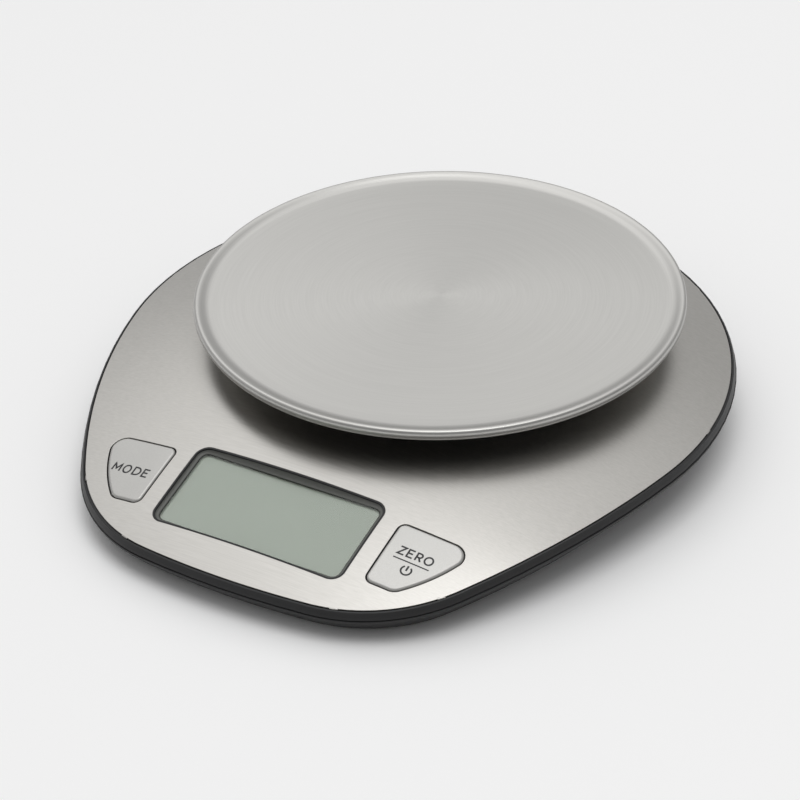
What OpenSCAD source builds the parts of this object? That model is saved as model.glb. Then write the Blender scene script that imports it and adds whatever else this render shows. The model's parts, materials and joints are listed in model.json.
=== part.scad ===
// Digital kitchen scale: a round steel platter that lifts off a domed body.
// The body is a thin steel cover on a black moulded shell, closed by a black tray.
// Millimetres. X runs to the right, Y to the rear and Z up. The origin lies on the
// table, under the middle of the body, and the display and keys face the front.

/* [Body outline] */
// Length of the steel cover, front to rear
cover_l = 221; // [212:1:232]
// Radius of the rounded rear
rear_r = 100; // [94:0.5:103]
// Radius of the long curve down each side
side_r = 216; // [190:1:260]
// Angle below the widest point where the rear curve runs into the side curve
side_turn = 11.7; // [8:0.1:15]
// Radius of each front corner
corner_r = 54; // [44:1:60]
// Radius of the front edge
front_r = 210; // [180:1:260]

/* [Dome and cover] */
// Height of the top of the dome above the table
body_h = 32; // [30:0.5:36]
// Radius of the dome
dome_r = 400; // [360:5:480]
// How far the top of the dome lies behind the centre of the rounded rear
dome_back = 5.8; // [0:0.1:8]
// Thickness of the steel cover
cover_t = 0.5; // [0.4:0.1:0.8]
// Thickness of the adhesive under the cover
cover_bed = 0.1; // [0.05:0.05:0.2]
// Width of each folded tab that hooks the cover onto the shell
tab_w = 2.5; // [2:0.1:4]
// Length of each folded tab
tab_l = 1.9; // [1.2:0.1:2.1]

/* [Shell and rim] */
// Thickness of the moulded shell under the cover
shell_t = 1.7; // [1.4:0.1:2.2]
// Gap between the edge of the cover and the rim that stands round it
lip_gap = 0.4; // [0.3:0.05:0.6]
// How far the top of the rim reaches outside the cover
lip_out = 0.95; // [0.8:0.05:1.2]
// How far the foot of the rim reaches outside the cover
rim_out = 1.6; // [1.3:0.05:1.8]
// Gap of the seam between the rim and the tray
seam_gap = 0.3; // [0.2:0.05:0.5]
// Depth of the tongue that locates the shell in the tray
tongue_h = 1.5; // [1:0.1:1.8]
// Thickness of that tongue
tongue_t = 1.3; // [1:0.1:1.8]

/* [Tray] */
// How far the top of the tray reaches outside the cover
tray_out = 1.85; // [1.6:0.05:2.2]
// Horizontal thickness of the tray wall
wall_t = 2.2; // [1.8:0.1:2.8]
// Thickness of the tray floor
floor_t = 2; // [1.6:0.1:2.6]
// Height of the tray floor above the table
clear_h = 1.5; // [1:0.1:2]
// Slope of the tray wall above the level
wall_slope = 48; // [44:1:56]
// Diameter of each rubber foot
foot_d = 12; // [10:0.5:15]
// Depth of the pocket that holds a foot
foot_pocket = 0.8; // [0.5:0.1:1.2]

/* [Platter] */
// Diameter of the weighing platter
platter_d = 160; // [150:1:168]
// How far the platter's axis lies behind the centre of the rounded rear
platter_back = 12.4; // [8:0.1:14]
// Height of the platter's flat above the top of the dome
platter_rise = 4.2; // [4:0.1:6]
// Depth of the dish below the crest of its rim
dish_depth = 1.2; // [0.8:0.1:2]
// Width of the hollow curve between the flat and the crest
dish_blend = 4.5; // [3:0.1:6]
// Height of the rolled edge, from the crest to its lower lip
roll_h = 3.4; // [2.6:0.1:3.8]
// Thickness of the platter's steel
platter_t = 0.8; // [0.6:0.1:1]

/* [Platter support] */
// Diameter of the neck that carries the platter through the cover
neck_d = 34; // [28:0.5:36]
// Radial gap round the neck where it passes the cover
neck_gap = 1.5; // [1:0.1:2.5]
// Diameter of the hub disc under the platter
hub_d = 100; // [80:1:120]
// Diameter of the spigot that centres the hub in the neck
spigot_d = 12; // [9:0.5:16]
// Radial fit of the spigot and of the hub's collar
hub_fit = 0.3; // [0.2:0.05:0.5]
// How far the platter sinks at full load
weigh_travel = 0.4; // [0.2:0.05:0.5]

/* [Load cell] */
// Length of the load cell bar
cell_l = 70; // [64:1:76]
// Width and height of the bar
cell_w = 12.7; // [11:0.1:13]
// Height of the pad under the fixed end
cell_pad_h = 4; // [3:0.1:5]
// Radius of the two sensing bores
cell_bore_r = 4.6; // [3.8:0.1:5]
// Thread diameter of the load cell screws
cell_screw_d = 4; // [3:0.5:5]
// Distance between the two screws at each end
cell_screw_pitch = 9; // [8.5:0.1:10]
// Thickness of the spacer under the platter support
spacer_t = 2; // [1.5:0.1:2.5]

/* [Display] */
// Width of the display window in the cover
window_w = 67.8; // [56:0.2:68]
// Height of the display window, along the slope
window_h = 32.2; // [26:0.2:33]
// Corner radius of the display window
window_r = 4.4; // [2:0.1:6]
// Distance from the middle of the window to the front of the cover
window_front = 26.8; // [25:0.1:29]
// Depth of the clear window pane below the top of the cover
pane_depth = 2.9; // [2.6:0.1:3.2]
// Thickness of the clear window pane
pane_t = 0.6; // [0.5:0.1:0.8]
// Thickness of the display glass
glass_t = 2; // [1.6:0.1:2.4]
// Depth of the circuit board below the top of the cover
board_depth = 10.2; // [9.8:0.1:10.6]
// Thickness of the circuit board
board_t = 1.6; // [1:0.1:1.6]

/* [Keys] */
// Gap between the two keys, across the window
key_span = 80.3; // [76:0.1:84]
// Height of each key, along the slope
key_h = 23.6; // [20:0.1:26]
// Radius of the outer edge of each key
key_edge_r = 51; // [46:0.5:52]
// How far the centre of that edge lies inside the centre of the body's front corner
key_edge_in = 6.3; // [4:0.1:9]
// How far it lies in front of that centre
key_edge_front = 3.8; // [1:0.1:6]
// Radius of each key's corners beside the window
key_r = 2.4; // [1.5:0.1:3]
// Radius of each key's outer corners
key_outer_r = 4.4; // [3:0.1:5]
// Thickness of each key's roof and walls
key_wall = 1.5; // [1.2:0.1:1.8]
// Gap round each key
key_gap = 0.35; // [0.3:0.05:0.5]
// How far each key stands proud of the cover
key_proud = 0.4; // [0.2:0.05:0.8]
// Travel of each key
key_travel = 0.5; // [0.3:0.05:0.6]

/* [Battery bay] */
// Diameter of one battery
battery_d = 10.5; // [10:0.1:10.5]
// Length of one battery with its nub
battery_l = 44.5; // [43.5:0.1:44.5]
// Length left at each spring
spring_room = 5.3; // [4.5:0.1:6]
// Distance from the middle of the body forward to the middle of the bay
bay_front = 22; // [20:0.5:24]
// Thickness of the bay walls
bay_wall = 1.5; // [1.2:0.1:2]
// Gap round the battery door
door_gap = 0.35; // [0.3:0.05:0.6]
// Wire diameter of each battery spring
spring_wire = 0.6; // [0.5:0.05:0.7]
// Number of turns in each battery spring
spring_turns = 4; // [3:1:4]

/* [Fasteners] */
// Shaft diameter of the housing and board screws
screw_d = 2.6; // [2.2:0.1:3]
// Outer diameter of each screw boss
boss_d = 7; // [6.4:0.1:8]
// Radial gap between a screw and its hole
screw_gap = 0.05; // [0.03:0.01:0.1]

/* [Hidden] */

// Facets of a small round, of a large round and of the dome
$fn = 48;
large_fn = 180;
dome_fn = 360;
// Small overlap that joins the solids of one piece, and a height beyond any piece
join = 0.05;
beyond = 60;

// Arcs of the cover outline: each lies inside the next larger one and touches it
rear_c = [0, cover_l / 2 - rear_r];
side_c = rear_c + (rear_r - side_r) * [cos(side_turn), -sin(side_turn)];
front_c = [0, front_r - cover_l / 2];
corner_c = arc_meet(front_c, front_r - corner_r, side_c, side_r - corner_r);
front_turn = atan2(corner_c.y - front_c.y, corner_c.x - front_c.x);
corner_turn = atan2(corner_c.y - side_c.y, corner_c.x - side_c.x);

// Centre that lies ra from a and rb from b, on the right-hand side
function arc_meet(a, ra, b, rb) =
    let (d = norm(b - a), u = (b - a) / d)
    let (along = (ra * ra - rb * rb + d * d) / (2 * d))
    a + along * u + sqrt(ra * ra - along * along) * [-u.y, u.x];

// Stations along an arc, each with its centre, radius and outward direction
function stations(c, r, from, to, steps) =
    [for (i = [0:steps - 1]) [c, r, from + (to - from) * i / steps]];

right_side = concat(
    stations(front_c, front_r, -90, front_turn, 3),
    stations(corner_c, corner_r, front_turn, corner_turn, 14),
    stations(side_c, side_r, corner_turn, -side_turn, 8),
    stations(rear_c, rear_r, -side_turn, 90, 24));
outline = concat(right_side, [[rear_c, rear_r, 90]],
    [for (i = [len(right_side) - 1:-1:1]) mirrored(right_side[i])]);

function mirrored(s) = [[-s[0].x, s[0].y], s[1], 180 - s[2]];

// Point of the outline at a station, moved outward by out
function edge(s, out) = s[0] + (s[1] + out) * [cos(s[2]), sin(s[2])];

function plan(out) = [for (s = outline) edge(s, out)];

// Station whose outward direction is the angle a, on the right-hand side
function station_at(a) =
    a < front_turn ? [front_c, front_r, a]
    : a < corner_turn ? [corner_c, corner_r, a]
    : a < -side_turn ? [side_c, side_r, a]
    : [rear_c, rear_r, a];

// Height of the dome over a point of the plan
dome_c = rear_c + [0, dome_back];
function dome_z(p) =
    body_h - dome_r + sqrt(dome_r * dome_r - (p - dome_c) * (p - dome_c));

// Depths below the dome: underside of the cover's bed, of the shell and of the seam
bed_drop = cover_t + cover_bed;
shell_drop = bed_drop + shell_t;
tray_drop = shell_drop + seam_gap;
lip_drop = 0.1;
floor_top = clear_h + floor_t;

// Tray wall: a short upright skirt, then a slope down to the floor
skirt_drop = tray_drop + 0.6;
skirt_foot = skirt_drop + 1.2;
skirt_in = 0.55;
base_round = 0.8;

function skirt_z(s) = dome_z(edge(s, 0)) - skirt_foot;
function base_out(s) =
    tray_out - skirt_in - (skirt_z(s) - clear_h - base_round) / tan(wall_slope);

// Platter and its support, up the platter's axis
platter_y = rear_c.y + platter_back;
platter_r = platter_d / 2;
flat_z = body_h + platter_rise;
crest_z = flat_z + dish_depth;
hub_t = 1.2;
hub_z = flat_z - platter_t - hub_t - 0.05;
neck_r = neck_d / 2;
spigot_r = spigot_d / 2;
collar_t = 2;
hub_rib_h = 0.9;
hub_rib_t = 1.2;
hub_rim_t = 1.4;
spigot_h = 4;
seat_gap = 0.1;
neck_top = hub_z - seat_gap;

// Load cell, under the platter's axis
cell_z = floor_top + cell_pad_h;
cell_top = cell_z + cell_w;
cell_end = cell_l / 2;
cell_screw_edge = 3.5;
cell_fix_x = cell_end - cell_screw_pitch / 2 - cell_screw_edge;
cell_screw_r = cell_screw_d / 2;
cell_head_r = cell_screw_r + 1.5;
cell_head_h = 2.2;
cell_head_z = clear_h + 3.4;
cell_grip = 7.4;
gauge_l = 18;
gauge_w = 9;
stop_r = 4;
cell_rib_h = 2.4;
cell_rib_t = 1.4;
support_z = cell_top + spacer_t;
support_t = 2.8;
support_r = cell_end + 3;
coat_t = 1;

// Sloping frame of the display and the keys, touching the dome at the window's middle
panel_y = window_front - cover_l / 2;
panel_tilt = asin((dome_c.y - panel_y) / dome_r);
panel_c = [0, panel_y, dome_z([0, panel_y])];
function on_slope(p) = panel_c + [p.x, p.y * cos(panel_tilt) - p.z * sin(panel_tilt),
    p.y * sin(panel_tilt) + p.z * cos(panel_tilt)];

// Pieces of the display, sized from the window
pane_w = window_w + 2.4;
pane_h = window_h + 2.2;
glass_w = pane_w + 1.2;
glass_h = pane_h + 1.2;
glass_top = -pane_depth - pane_t - 0.1;
glass_low = glass_top - glass_t;
frame_wall = 1.4;
frame_w = glass_w + 2 * frame_wall + 0.3;
frame_h = glass_h + 2 * frame_wall + 0.3;
frame_top = glass_low + 0.5;
board_top = -board_depth;
board_low = board_top - board_t;
board_front = 14;
board_rear = frame_h / 2 + 6.65;
screw_r = screw_d / 2;
boss_r = boss_d / 2;
board_screw_x = frame_w / 2 + boss_r + 3.25;
board_tail_w = 2 * (board_screw_x + boss_r + 2.5);
board_screw_at = [[board_screw_x, board_rear - 7.5], [-board_screw_x, board_rear - 7.5],
    [0, board_rear - 3]];
board_screw_l = 6;
chip_r = 7;
chip_h = 1.8;
chip_ball = 16;
board_head_h = 1.4;

// Keys and switches, and the board's reach beyond the middle of each key
board_reach = 8;
key_in = key_span / 2;
key_edge_c = [corner_c.x - key_edge_in,
    (corner_c.y - key_edge_front - panel_y) / cos(panel_tilt)];
key_w = key_edge_c.x + sqrt(key_edge_r * key_edge_r - key_edge_c.y * key_edge_c.y) - key_in;
key_mid = key_in + key_w / 2;
board_w = 2 * (key_mid + board_reach);
flange_gap = 0.35;
flange_t = 0.8;
flange_lap = 1;
switch_w = 6;
switch_h = 1.9;
pin_r = 1.6;
pin_h = 0.6;
pin_in = 0.5;
pin_room = 0.3;
post_gap = 0.05;

// Battery bay
bay_w = battery_l + spring_room + 1.2;
bay_d = 2 * battery_d + 1.8;
battery_z = floor_top + 0.5 + battery_d / 2;
bay_top = battery_z + battery_d / 2 + 0.5;
battery_y = battery_d / 2 + 0.4;
contact_t = 0.3;
contact_r = 4;
contact_tail = 1.2;
contact_tail_z = 2.5;
latch_w = 9;
latch_l = 8;
latch_cut = 0.8;
hook_w = 8;
hook_h = 1;
hook_out = 1.2;
hook_x = 14;
spring_r1 = 3.4;
spring_r2 = 1.7;

// Screws and feet on the right-hand side: outward direction at the cover's edge, and how
// far in from it they stand
screw_turns = [[-26, 20.5], [5.4, 19.7], [56.5, 16.7]];
feet_turns = [[-50, 16], [43.7, 19.7]];
screw_at = [for (s = screw_turns) edge(station_at(s.x), -s.y)];
feet_at = [for (s = feet_turns) edge(station_at(s.x), -s.y)];
head_r = screw_r + 1.3;
head_h = 1.8;
well_r = head_r + 0.5;
well_roof = 2;
screw_l = 8.5;
split_z = floor_top + 4;
tab_turns = [-73.6, -39.5, 3, 52];

// Colours of the materials
steel = [0.72, 0.71, 0.69];
black = [0.13, 0.13, 0.13];
satin = [0.78, 0.77, 0.75];
alloy = [0.8, 0.81, 0.83];
zinc = [0.7, 0.71, 0.72];

// Smooth closed solid through rings of points, from the lowest ring to the highest
module loft(rings) {
    n = len(rings[0]);
    top = (len(rings) - 1) * n;
    sides = [for (k = [0:len(rings) - 2], i = [0:n - 1]) let (j = (i + 1) % n, a = k * n)
        each [[a + i, a + n + i, a + n + j], [a + i, a + n + j, a + j]]];
    polyhedron([for (r = rings) each r], concat(
        [[for (i = [0:n - 1]) i]],
        [[for (i = [n - 1:-1:0]) top + i]],
        sides));
}

// Ring of points at an offset, on the dome lowered by drop
function dome_ring(out, drop) =
    [for (p = plan(out)) [p.x, p.y, dome_z(p) - drop]];

function flat_ring(out, z) = [for (p = plan(out)) [p.x, p.y, z]];

// Solid under the dome lowered by drop
module under_dome(drop) {
    translate([dome_c.x, dome_c.y, body_h - dome_r - drop])
        sphere(dome_r, $fn = dome_fn);
}

// Upright prism over the outline
module outline_block(out, h) {
    linear_extrude(h) polygon(plan(out));
}

module both_sides() {
    children();
    mirror([1, 0, 0]) children();
}

// Moves a piece into the sloping frame of the display
module on_panel() {
    translate(panel_c) rotate([panel_tilt, 0, 0]) children();
}

// Solid under the dome, seen from the sloping frame, lowered square to the slope
module under_panel_dome(drop) {
    translate([0, 0, -dome_r - drop]) sphere(dome_r, $fn = dome_fn);
}

module at_platter() {
    translate([0, platter_y, 0]) children();
}

// Places a piece on the edge of the cover, X pointing outward, at both sides
module at_tabs() {
    for (a = tab_turns) {
        s = station_at(a);
        p = edge(s, 0);
        both_sides() translate([p.x, p.y, dome_z(p)]) rotate([0, 0, a]) children();
    }
}

// Span of width w about the middle c
function span(c, w) = [c - w / 2, c + w / 2];

module block(x, y, z) {
    translate([x[0], y[0], z[0]]) cube([x[1] - x[0], y[1] - y[0], z[1] - z[0]]);
}

// Flat shape of the display window, round at the corners
module window_shape(w, h, r) {
    hull() for (x = [-1, 1], y = [-1, 1])
        translate([x * (w / 2 - r), y * (h / 2 - r)]) circle(r, $fn = 32);
}

// Flat shape of the right-hand key, grown by out: straight inside, curved outside
module key_shape(out) {
    offset(delta = out) intersection() {
        key_part(key_in, key_r);
        key_part(0, key_outer_r);
    }
}

// The key's shape from x outward, with one radius at all its corners
module key_part(x, r) {
    offset(r = r, $fn = 32) offset(delta = -r) intersection() {
        translate([x, -key_h / 2]) square([key_in + 2 * key_w - x, key_h]);
        translate(key_edge_c) circle(key_edge_r, $fn = large_fn);
    }
}

// Post that takes a screw, from the level z up to the shell
module boss(z) {
    translate([0, 0, z]) cylinder(h = beyond, r = boss_r);
}

// The thin steel cover: dome, openings, and tabs folded down at its edge
module top_cover() {
    color(steel) {
        difference() {
            intersection() {
                outline_block(0, beyond);
                under_dome(0);
            }
            under_dome(cover_t);
            at_platter() cylinder(h = beyond, r = neck_r + neck_gap, $fn = large_fn);
            on_panel() translate([0, 0, -beyond / 2]) linear_extrude(beyond)
                window_shape(window_w, window_h, window_r);
            both_sides() on_panel() translate([0, 0, -beyond / 2]) linear_extrude(beyond)
                key_shape(key_gap);
        }
        at_tabs() block([-cover_t, lip_gap - 0.15], [-tab_w / 2, tab_w / 2],
            [-tab_l, -cover_t / 2]);
    }
}

// The black shell under the cover: the rim, a tongue, screw posts and the display seat
module upper_housing() {
    color(black) difference() {
        union() {
            difference() {
                intersection() {
                    loft([flat_ring(rim_out, 0), dome_ring(rim_out, shell_drop + 0.3),
                        dome_ring(rim_out - 0.15, shell_drop / 2),
                        dome_ring(lip_out, lip_drop + 0.25), flat_ring(lip_out, beyond)]);
                    under_dome(lip_drop);
                }
                under_dome(shell_drop);
                difference() {
                    outline_block(lip_gap, beyond);
                    under_dome(bed_drop);
                }
            }
            shell_tongue();
            shell_posts();
        }
        shell_cuts();
    }
}

module shell_tongue() {
    tongue_out = tray_out - wall_t - 0.5;
    difference() {
        intersection() {
            outline_block(tongue_out, beyond);
            under_dome(shell_drop - join);
        }
        under_dome(shell_drop + tongue_h);
        outline_block(tongue_out - tongue_t, beyond);
    }
}

module shell_posts() {
    intersection() {
        union() {
            both_sides() for (p = screw_at) translate([p.x, p.y, 0]) boss(split_z);
            on_panel() for (p = board_screw_at) translate([p.x, p.y, 0]) boss(board_top);
            at_platter() difference() {
                cylinder(h = beyond, r = neck_r + neck_gap + 1.6, $fn = large_fn);
                translate([0, 0, -join]) cylinder(h = body_h - shell_drop - 1.2, r = beyond);
            }
        }
        under_dome(shell_drop - join);
    }
}

module shell_cuts() {
    at_platter() cylinder(h = beyond, r = neck_r + neck_gap, $fn = large_fn);
    on_panel() {
        translate([0, 0, -beyond / 2]) linear_extrude(beyond)
            window_shape(window_w + 0.4, window_h + 0.4, window_r + 0.2);
        block([-0.5, 0.5] * (glass_w + 0.6), [-0.5, 0.5] * (glass_h + 0.6),
            [-beyond / 2, -pane_depth]);
        for (p = board_screw_at) translate([p.x, p.y, board_top - join])
            cylinder(h = 5, r = screw_r + screw_gap);
    }
    both_sides() on_panel() translate([0, 0, -beyond / 2]) linear_extrude(beyond)
        key_shape(key_gap);
    both_sides() for (p = screw_at) translate([p.x, p.y, split_z - join])
        cylinder(h = 9, r = screw_r + screw_gap);
    at_tabs() block([-cover_t - 0.3, lip_gap + join], [-tab_w / 2 - 0.3, tab_w / 2 + 0.3],
        [-shell_drop - 1, cover_t]);
}

// The black tray: sloping wall, battery bay, load cell pad, screw wells and foot pockets
module lower_housing() {
    color(black) difference() {
        union() {
            difference() {
                intersection() {
                    loft([
                        [for (s = outline) let (p = edge(s, base_out(s) - base_round))
                            [p.x, p.y, clear_h]],
                        [for (s = outline) let (p = edge(s, base_out(s)))
                            [p.x, p.y, clear_h + base_round]],
                        [for (s = outline) let (p = edge(s, tray_out - skirt_in))
                            [p.x, p.y, skirt_z(s)]],
                        [for (s = outline) let (p = edge(s, tray_out))
                            [p.x, p.y, skirt_z(s) + skirt_foot - skirt_drop]],
                        flat_ring(tray_out, beyond)]);
                    under_dome(tray_drop);
                }
                tray_hollow();
            }
            tray_inserts();
        }
        tray_cuts();
    }
}

module tray_hollow() {
    inner = tray_out - wall_t;
    loft([
        [for (s = outline) let (p = edge(s, base_out(s) - wall_t)) [p.x, p.y, floor_top]],
        [for (s = outline) let (p = edge(s, inner - skirt_in)) [p.x, p.y, skirt_z(s) - 0.6]],
        [for (s = outline) let (p = edge(s, inner)) [p.x, p.y, skirt_z(s) + skirt_foot - skirt_drop]],
        flat_ring(inner, beyond + 1)]);
}

module tray_inserts() {
    // Wells that the housing screws come up through
    both_sides() for (p = screw_at) translate([p.x, p.y, clear_h + join])
        cylinder(h = split_z - seat_gap - clear_h - join, r = well_r + 1.4);
    // Battery bay
    block([-0.5, 0.5] * (bay_w + 2 * bay_wall),
        [-bay_front - bay_d / 2 - bay_wall, -bay_front + bay_d / 2 + bay_wall],
        [clear_h + join, bay_top + bay_wall]);
    at_platter() {
        // Pad under the fixed end of the load cell
        block([-cell_end - 1, -cell_fix_x + cell_screw_pitch / 2 + cell_screw_edge],
            [-0.5, 0.5] * (cell_w + 2), [clear_h + join, cell_z]);
        // Stop under the free end
        translate([cell_fix_x, 0, clear_h + join])
            cylinder(h = cell_z - clear_h - join - weigh_travel - 0.2, r = stop_r);
        // Ribs that stiffen the floor round the load cell
        for (y = [-1, 1] * (cell_w / 2 + 5)) block([-1, 1] * (cell_end + 18),
            span(y, cell_rib_t), [clear_h + join, floor_top + cell_rib_h]);
        for (x = [-1, 1] * (cell_end + 8)) block(span(x, cell_rib_t),
            [-1, 1] * (cell_w / 2 + 20), [clear_h + join, floor_top + cell_rib_h]);
    }
}

module tray_cuts() {
    // Pocket of the battery bay, open below
    block(span(0, bay_w), [-bay_front - bay_d / 2, -bay_front + bay_d / 2],
        [0, bay_top]);
    // Slots for the hooks of the battery door
    for (x = [-hook_x, hook_x]) block([x - hook_w / 2 - 0.4, x + hook_w / 2 + 0.4],
        [-bay_front, -bay_front + bay_d / 2 + hook_out + 0.5],
        [floor_top - 0.4, floor_top + hook_h + 0.7]);
    // Slots for the solder tails of the battery contacts
    for (y = [-battery_y, battery_y]) block([-bay_w / 2 - bay_wall - 1, -bay_w / 2 + 1],
        span(y - bay_front, contact_r / 2 + 0.6),
        span(battery_z + contact_tail_z + contact_t / 2, contact_t + 0.6));
    // Thumb notch in front of the battery door
    translate([0, -bay_front - bay_d / 2, clear_h - join]) intersection() {
        cylinder(h = 1, r = latch_w * 0.6);
        block([-1, 1] * latch_w, [-latch_w, 0.5], [0, 1]);
    }
    both_sides() for (p = feet_at) translate([p.x, p.y, clear_h - join])
        cylinder(h = foot_pocket + join, r = foot_d / 2 + 0.1);
    both_sides() for (p = screw_at) translate([p.x, p.y, 0]) {
        cylinder(h = split_z - well_roof, r = well_r);
        cylinder(h = beyond, r = screw_r + 0.2);
    }
    at_platter() for (x = [-1, 1]) translate([-cell_fix_x + x * cell_screw_pitch / 2, 0, 0]) {
        cylinder(h = cell_head_z, r = cell_head_r + 0.5);
        cylinder(h = beyond, r = cell_screw_r + 0.2);
    }
}

// Section of the dish: flat, hollow curve, crest and an outward roll
module platter_section() {
    r_flat = platter_r - 1.3 - dish_blend;
    roll_r = roll_h / 2;
    blend = [for (i = [0:8]) let (u = i / 8)
        [r_flat + dish_blend * u, flat_z + dish_depth * (1 - cos(90 * u))]];
    crest = [for (i = [0:10]) let (a = 100 - 18 * i)
        [platter_r - roll_r * 0.8 + roll_r * 0.8 * cos(a),
            crest_z - roll_r + roll_r * sin(a)]];
    inner = [for (i = [10:-1:0]) let (a = 100 - 18 * i)
        [platter_r - roll_r * 0.8 + (roll_r * 0.8 - platter_t) * cos(a),
            crest_z - roll_r + (roll_r - platter_t) * sin(a)]];
    under = [for (i = [8:-1:0]) let (u = i / 8)
        [r_flat + (dish_blend - 0.4) * u, flat_z - platter_t + dish_depth * (1 - cos(90 * u))]];
    polygon(concat([[0, flat_z]], blend, crest, inner, under, [[0, flat_z - platter_t]]));
}

// The steel platter that food is weighed on
module weighing_platter() {
    color(satin) at_platter() rotate_extrude($fn = large_fn) platter_section();
}

// Plastic disc bonded under the platter, with a collar and a spigot for the neck
module platter_hub() {
    hub_r = hub_d / 2;
    collar_r = neck_r + hub_fit;
    low = hub_z - hub_rib_h;
    color(black) at_platter() difference() {
        union() {
            translate([0, 0, hub_z]) cylinder(h = hub_t, r = hub_r, $fn = large_fn);
            translate([0, 0, low]) cylinder(h = hub_rib_h + join, r = collar_r + collar_t,
                $fn = large_fn);
            translate([0, 0, hub_z - spigot_h]) cylinder(h = spigot_h + join, r = spigot_r);
            for (i = [0:7]) rotate(i * 45) block([collar_r + collar_t / 2, hub_r - hub_rim_t / 2],
                [-0.5, 0.5] * hub_rib_t, [low, hub_z + join]);
            translate([0, 0, low]) difference() {
                cylinder(h = hub_rib_h + join, r = hub_r, $fn = large_fn);
                translate([0, 0, -1]) cylinder(h = beyond, r = hub_r - hub_rim_t, $fn = large_fn);
            }
        }
        translate([0, 0, low - 1]) difference() {
            cylinder(h = hub_rib_h + 1, r = collar_r, $fn = large_fn);
            cylinder(h = beyond, r = spigot_r, center = true);
        }
        translate([0, 0, hub_z - spigot_h - join]) cylinder(h = spigot_h - 1, r = spigot_r - 1.5);
    }
}

// Carrier bolted to the load cell: a plate, and a hollow neck that comes up out of the cover
module platter_support() {
    wall = 3;
    color(black) at_platter() difference() {
        union() {
            translate([0, 0, support_z]) cylinder(h = support_t, r = support_r, $fn = large_fn);
            translate([0, 0, support_z]) cylinder(h = neck_top - support_z, r = neck_r, $fn = large_fn);
            for (i = [0:7]) rotate(22.5 + i * 45) intersection() {
                block([neck_r - 1, support_r - 1], [-0.8, 0.8], [support_z, support_z + support_t + 2]);
                translate([0, 0, support_z - 1]) cylinder(h = 9, r1 = support_r + 4, r2 = neck_r - 1);
            }
        }
        translate([0, 0, support_z + support_t]) cylinder(h = neck_top - support_z - support_t - 2,
            r = neck_r - wall, $fn = large_fn);
        cylinder(h = beyond, r = spigot_r + hub_fit);
        for (x = [-1, 1]) translate([cell_fix_x + x * cell_screw_pitch / 2, 0, 0])
            cylinder(h = beyond, r = cell_screw_r + 0.2);
    }
}

// Plate that lifts the support clear of the bar
module support_spacer() {
    color(zinc) at_platter() difference() {
        block([cell_fix_x - cell_screw_pitch / 2 - cell_screw_edge, cell_end],
            [-0.5, 0.5] * cell_w, [cell_top, support_z]);
        for (x = [-1, 1]) translate([cell_fix_x + x * cell_screw_pitch / 2, 0, 0])
            cylinder(h = beyond, r = cell_screw_r + 0.2);
    }
}

// One pan-head screw, its shaft pointing up or down from the underside of its head
module screw(r, head, tall, l) {
    difference() {
        union() {
            cylinder(h = l, r = r);
            translate([0, 0, -tall]) cylinder(h = tall, r = head);
        }
        translate([0, 0, -tall - join]) for (a = [0, 90]) rotate(a)
            block([-0.6, 0.6] * head, [-0.25, 0.25] * r, [0, tall / 2]);
    }
}

module support_screws() {
    color(zinc) at_platter() for (x = [-1, 1])
        translate([cell_fix_x + x * cell_screw_pitch / 2, 0, support_z + support_t])
            mirror([0, 0, 1]) screw(cell_screw_r, cell_head_r, cell_head_h,
                support_t + spacer_t + cell_grip);
}

module cell_screws() {
    color(zinc) at_platter() for (x = [-1, 1])
        translate([-cell_fix_x + x * cell_screw_pitch / 2, 0, cell_head_z])
            screw(cell_screw_r, cell_head_r, cell_head_h, cell_z - cell_head_z + cell_grip);
}

// Single-point load cell: an aluminium bar with two joined bores across its middle
module load_cell() {
    color(alloy) at_platter() difference() {
        block([-cell_end, cell_end], [-0.5, 0.5] * cell_w, [cell_z, cell_top]);
        for (x = [-1, 1]) translate([x * (cell_bore_r + 1.2), 0, cell_z + cell_w / 2])
            rotate([90, 0, 0]) cylinder(h = beyond, r = cell_bore_r, center = true);
        block([-cell_bore_r - 1.2, cell_bore_r + 1.2], [-beyond, beyond],
            [cell_z + cell_w / 2 - 1.2, cell_z + cell_w / 2 + 1.2]);
        for (end = [-1, 1], x = [-1, 1])
            translate([end * cell_fix_x + x * cell_screw_pitch / 2, 0, 0])
                cylinder(h = beyond, r = cell_screw_r + screw_gap);
    }
}

// White sealant over the strain gauges, on top of the bar and under it
module gauge_coating() {
    color([0.93, 0.92, 0.88]) at_platter() for (z = [cell_z - coat_t, cell_top])
        block([-0.5, 0.5] * gauge_l, [-0.5, 0.5] * gauge_w, [z, z + coat_t]);
}

// Smooth route through hand-chosen points, and a round tube along it
function route(p, n) = [for (i = [0:len(p) - 2], k = [0:n - 1])
    let (a = p[max(i - 1, 0)], b = p[i], c = p[i + 1], d = p[min(i + 2, len(p) - 1)], u = k / n)
    b + (c - a) * u / 2 + (2 * a - 5 * b + 4 * c - d) * u * u / 2
        + (3 * b - a - 3 * c + d) * u * u * u / 2];

module tube(p, r, sides) {
    last = len(p) - 1;
    rings = [for (i = [0:last])
        let (t = p[min(i + 1, last)] - p[max(i - 1, 0)], u = t / norm(t))
        let (v = cross(u, [0, 0, 1]), side = v / norm(v), up = cross(side, u))
        [for (k = [0:sides - 1]) p[i] + r * (cos(360 * k / sides) * side
            + sin(360 * k / sides) * up)]];
    loft(rings);
}

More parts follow.
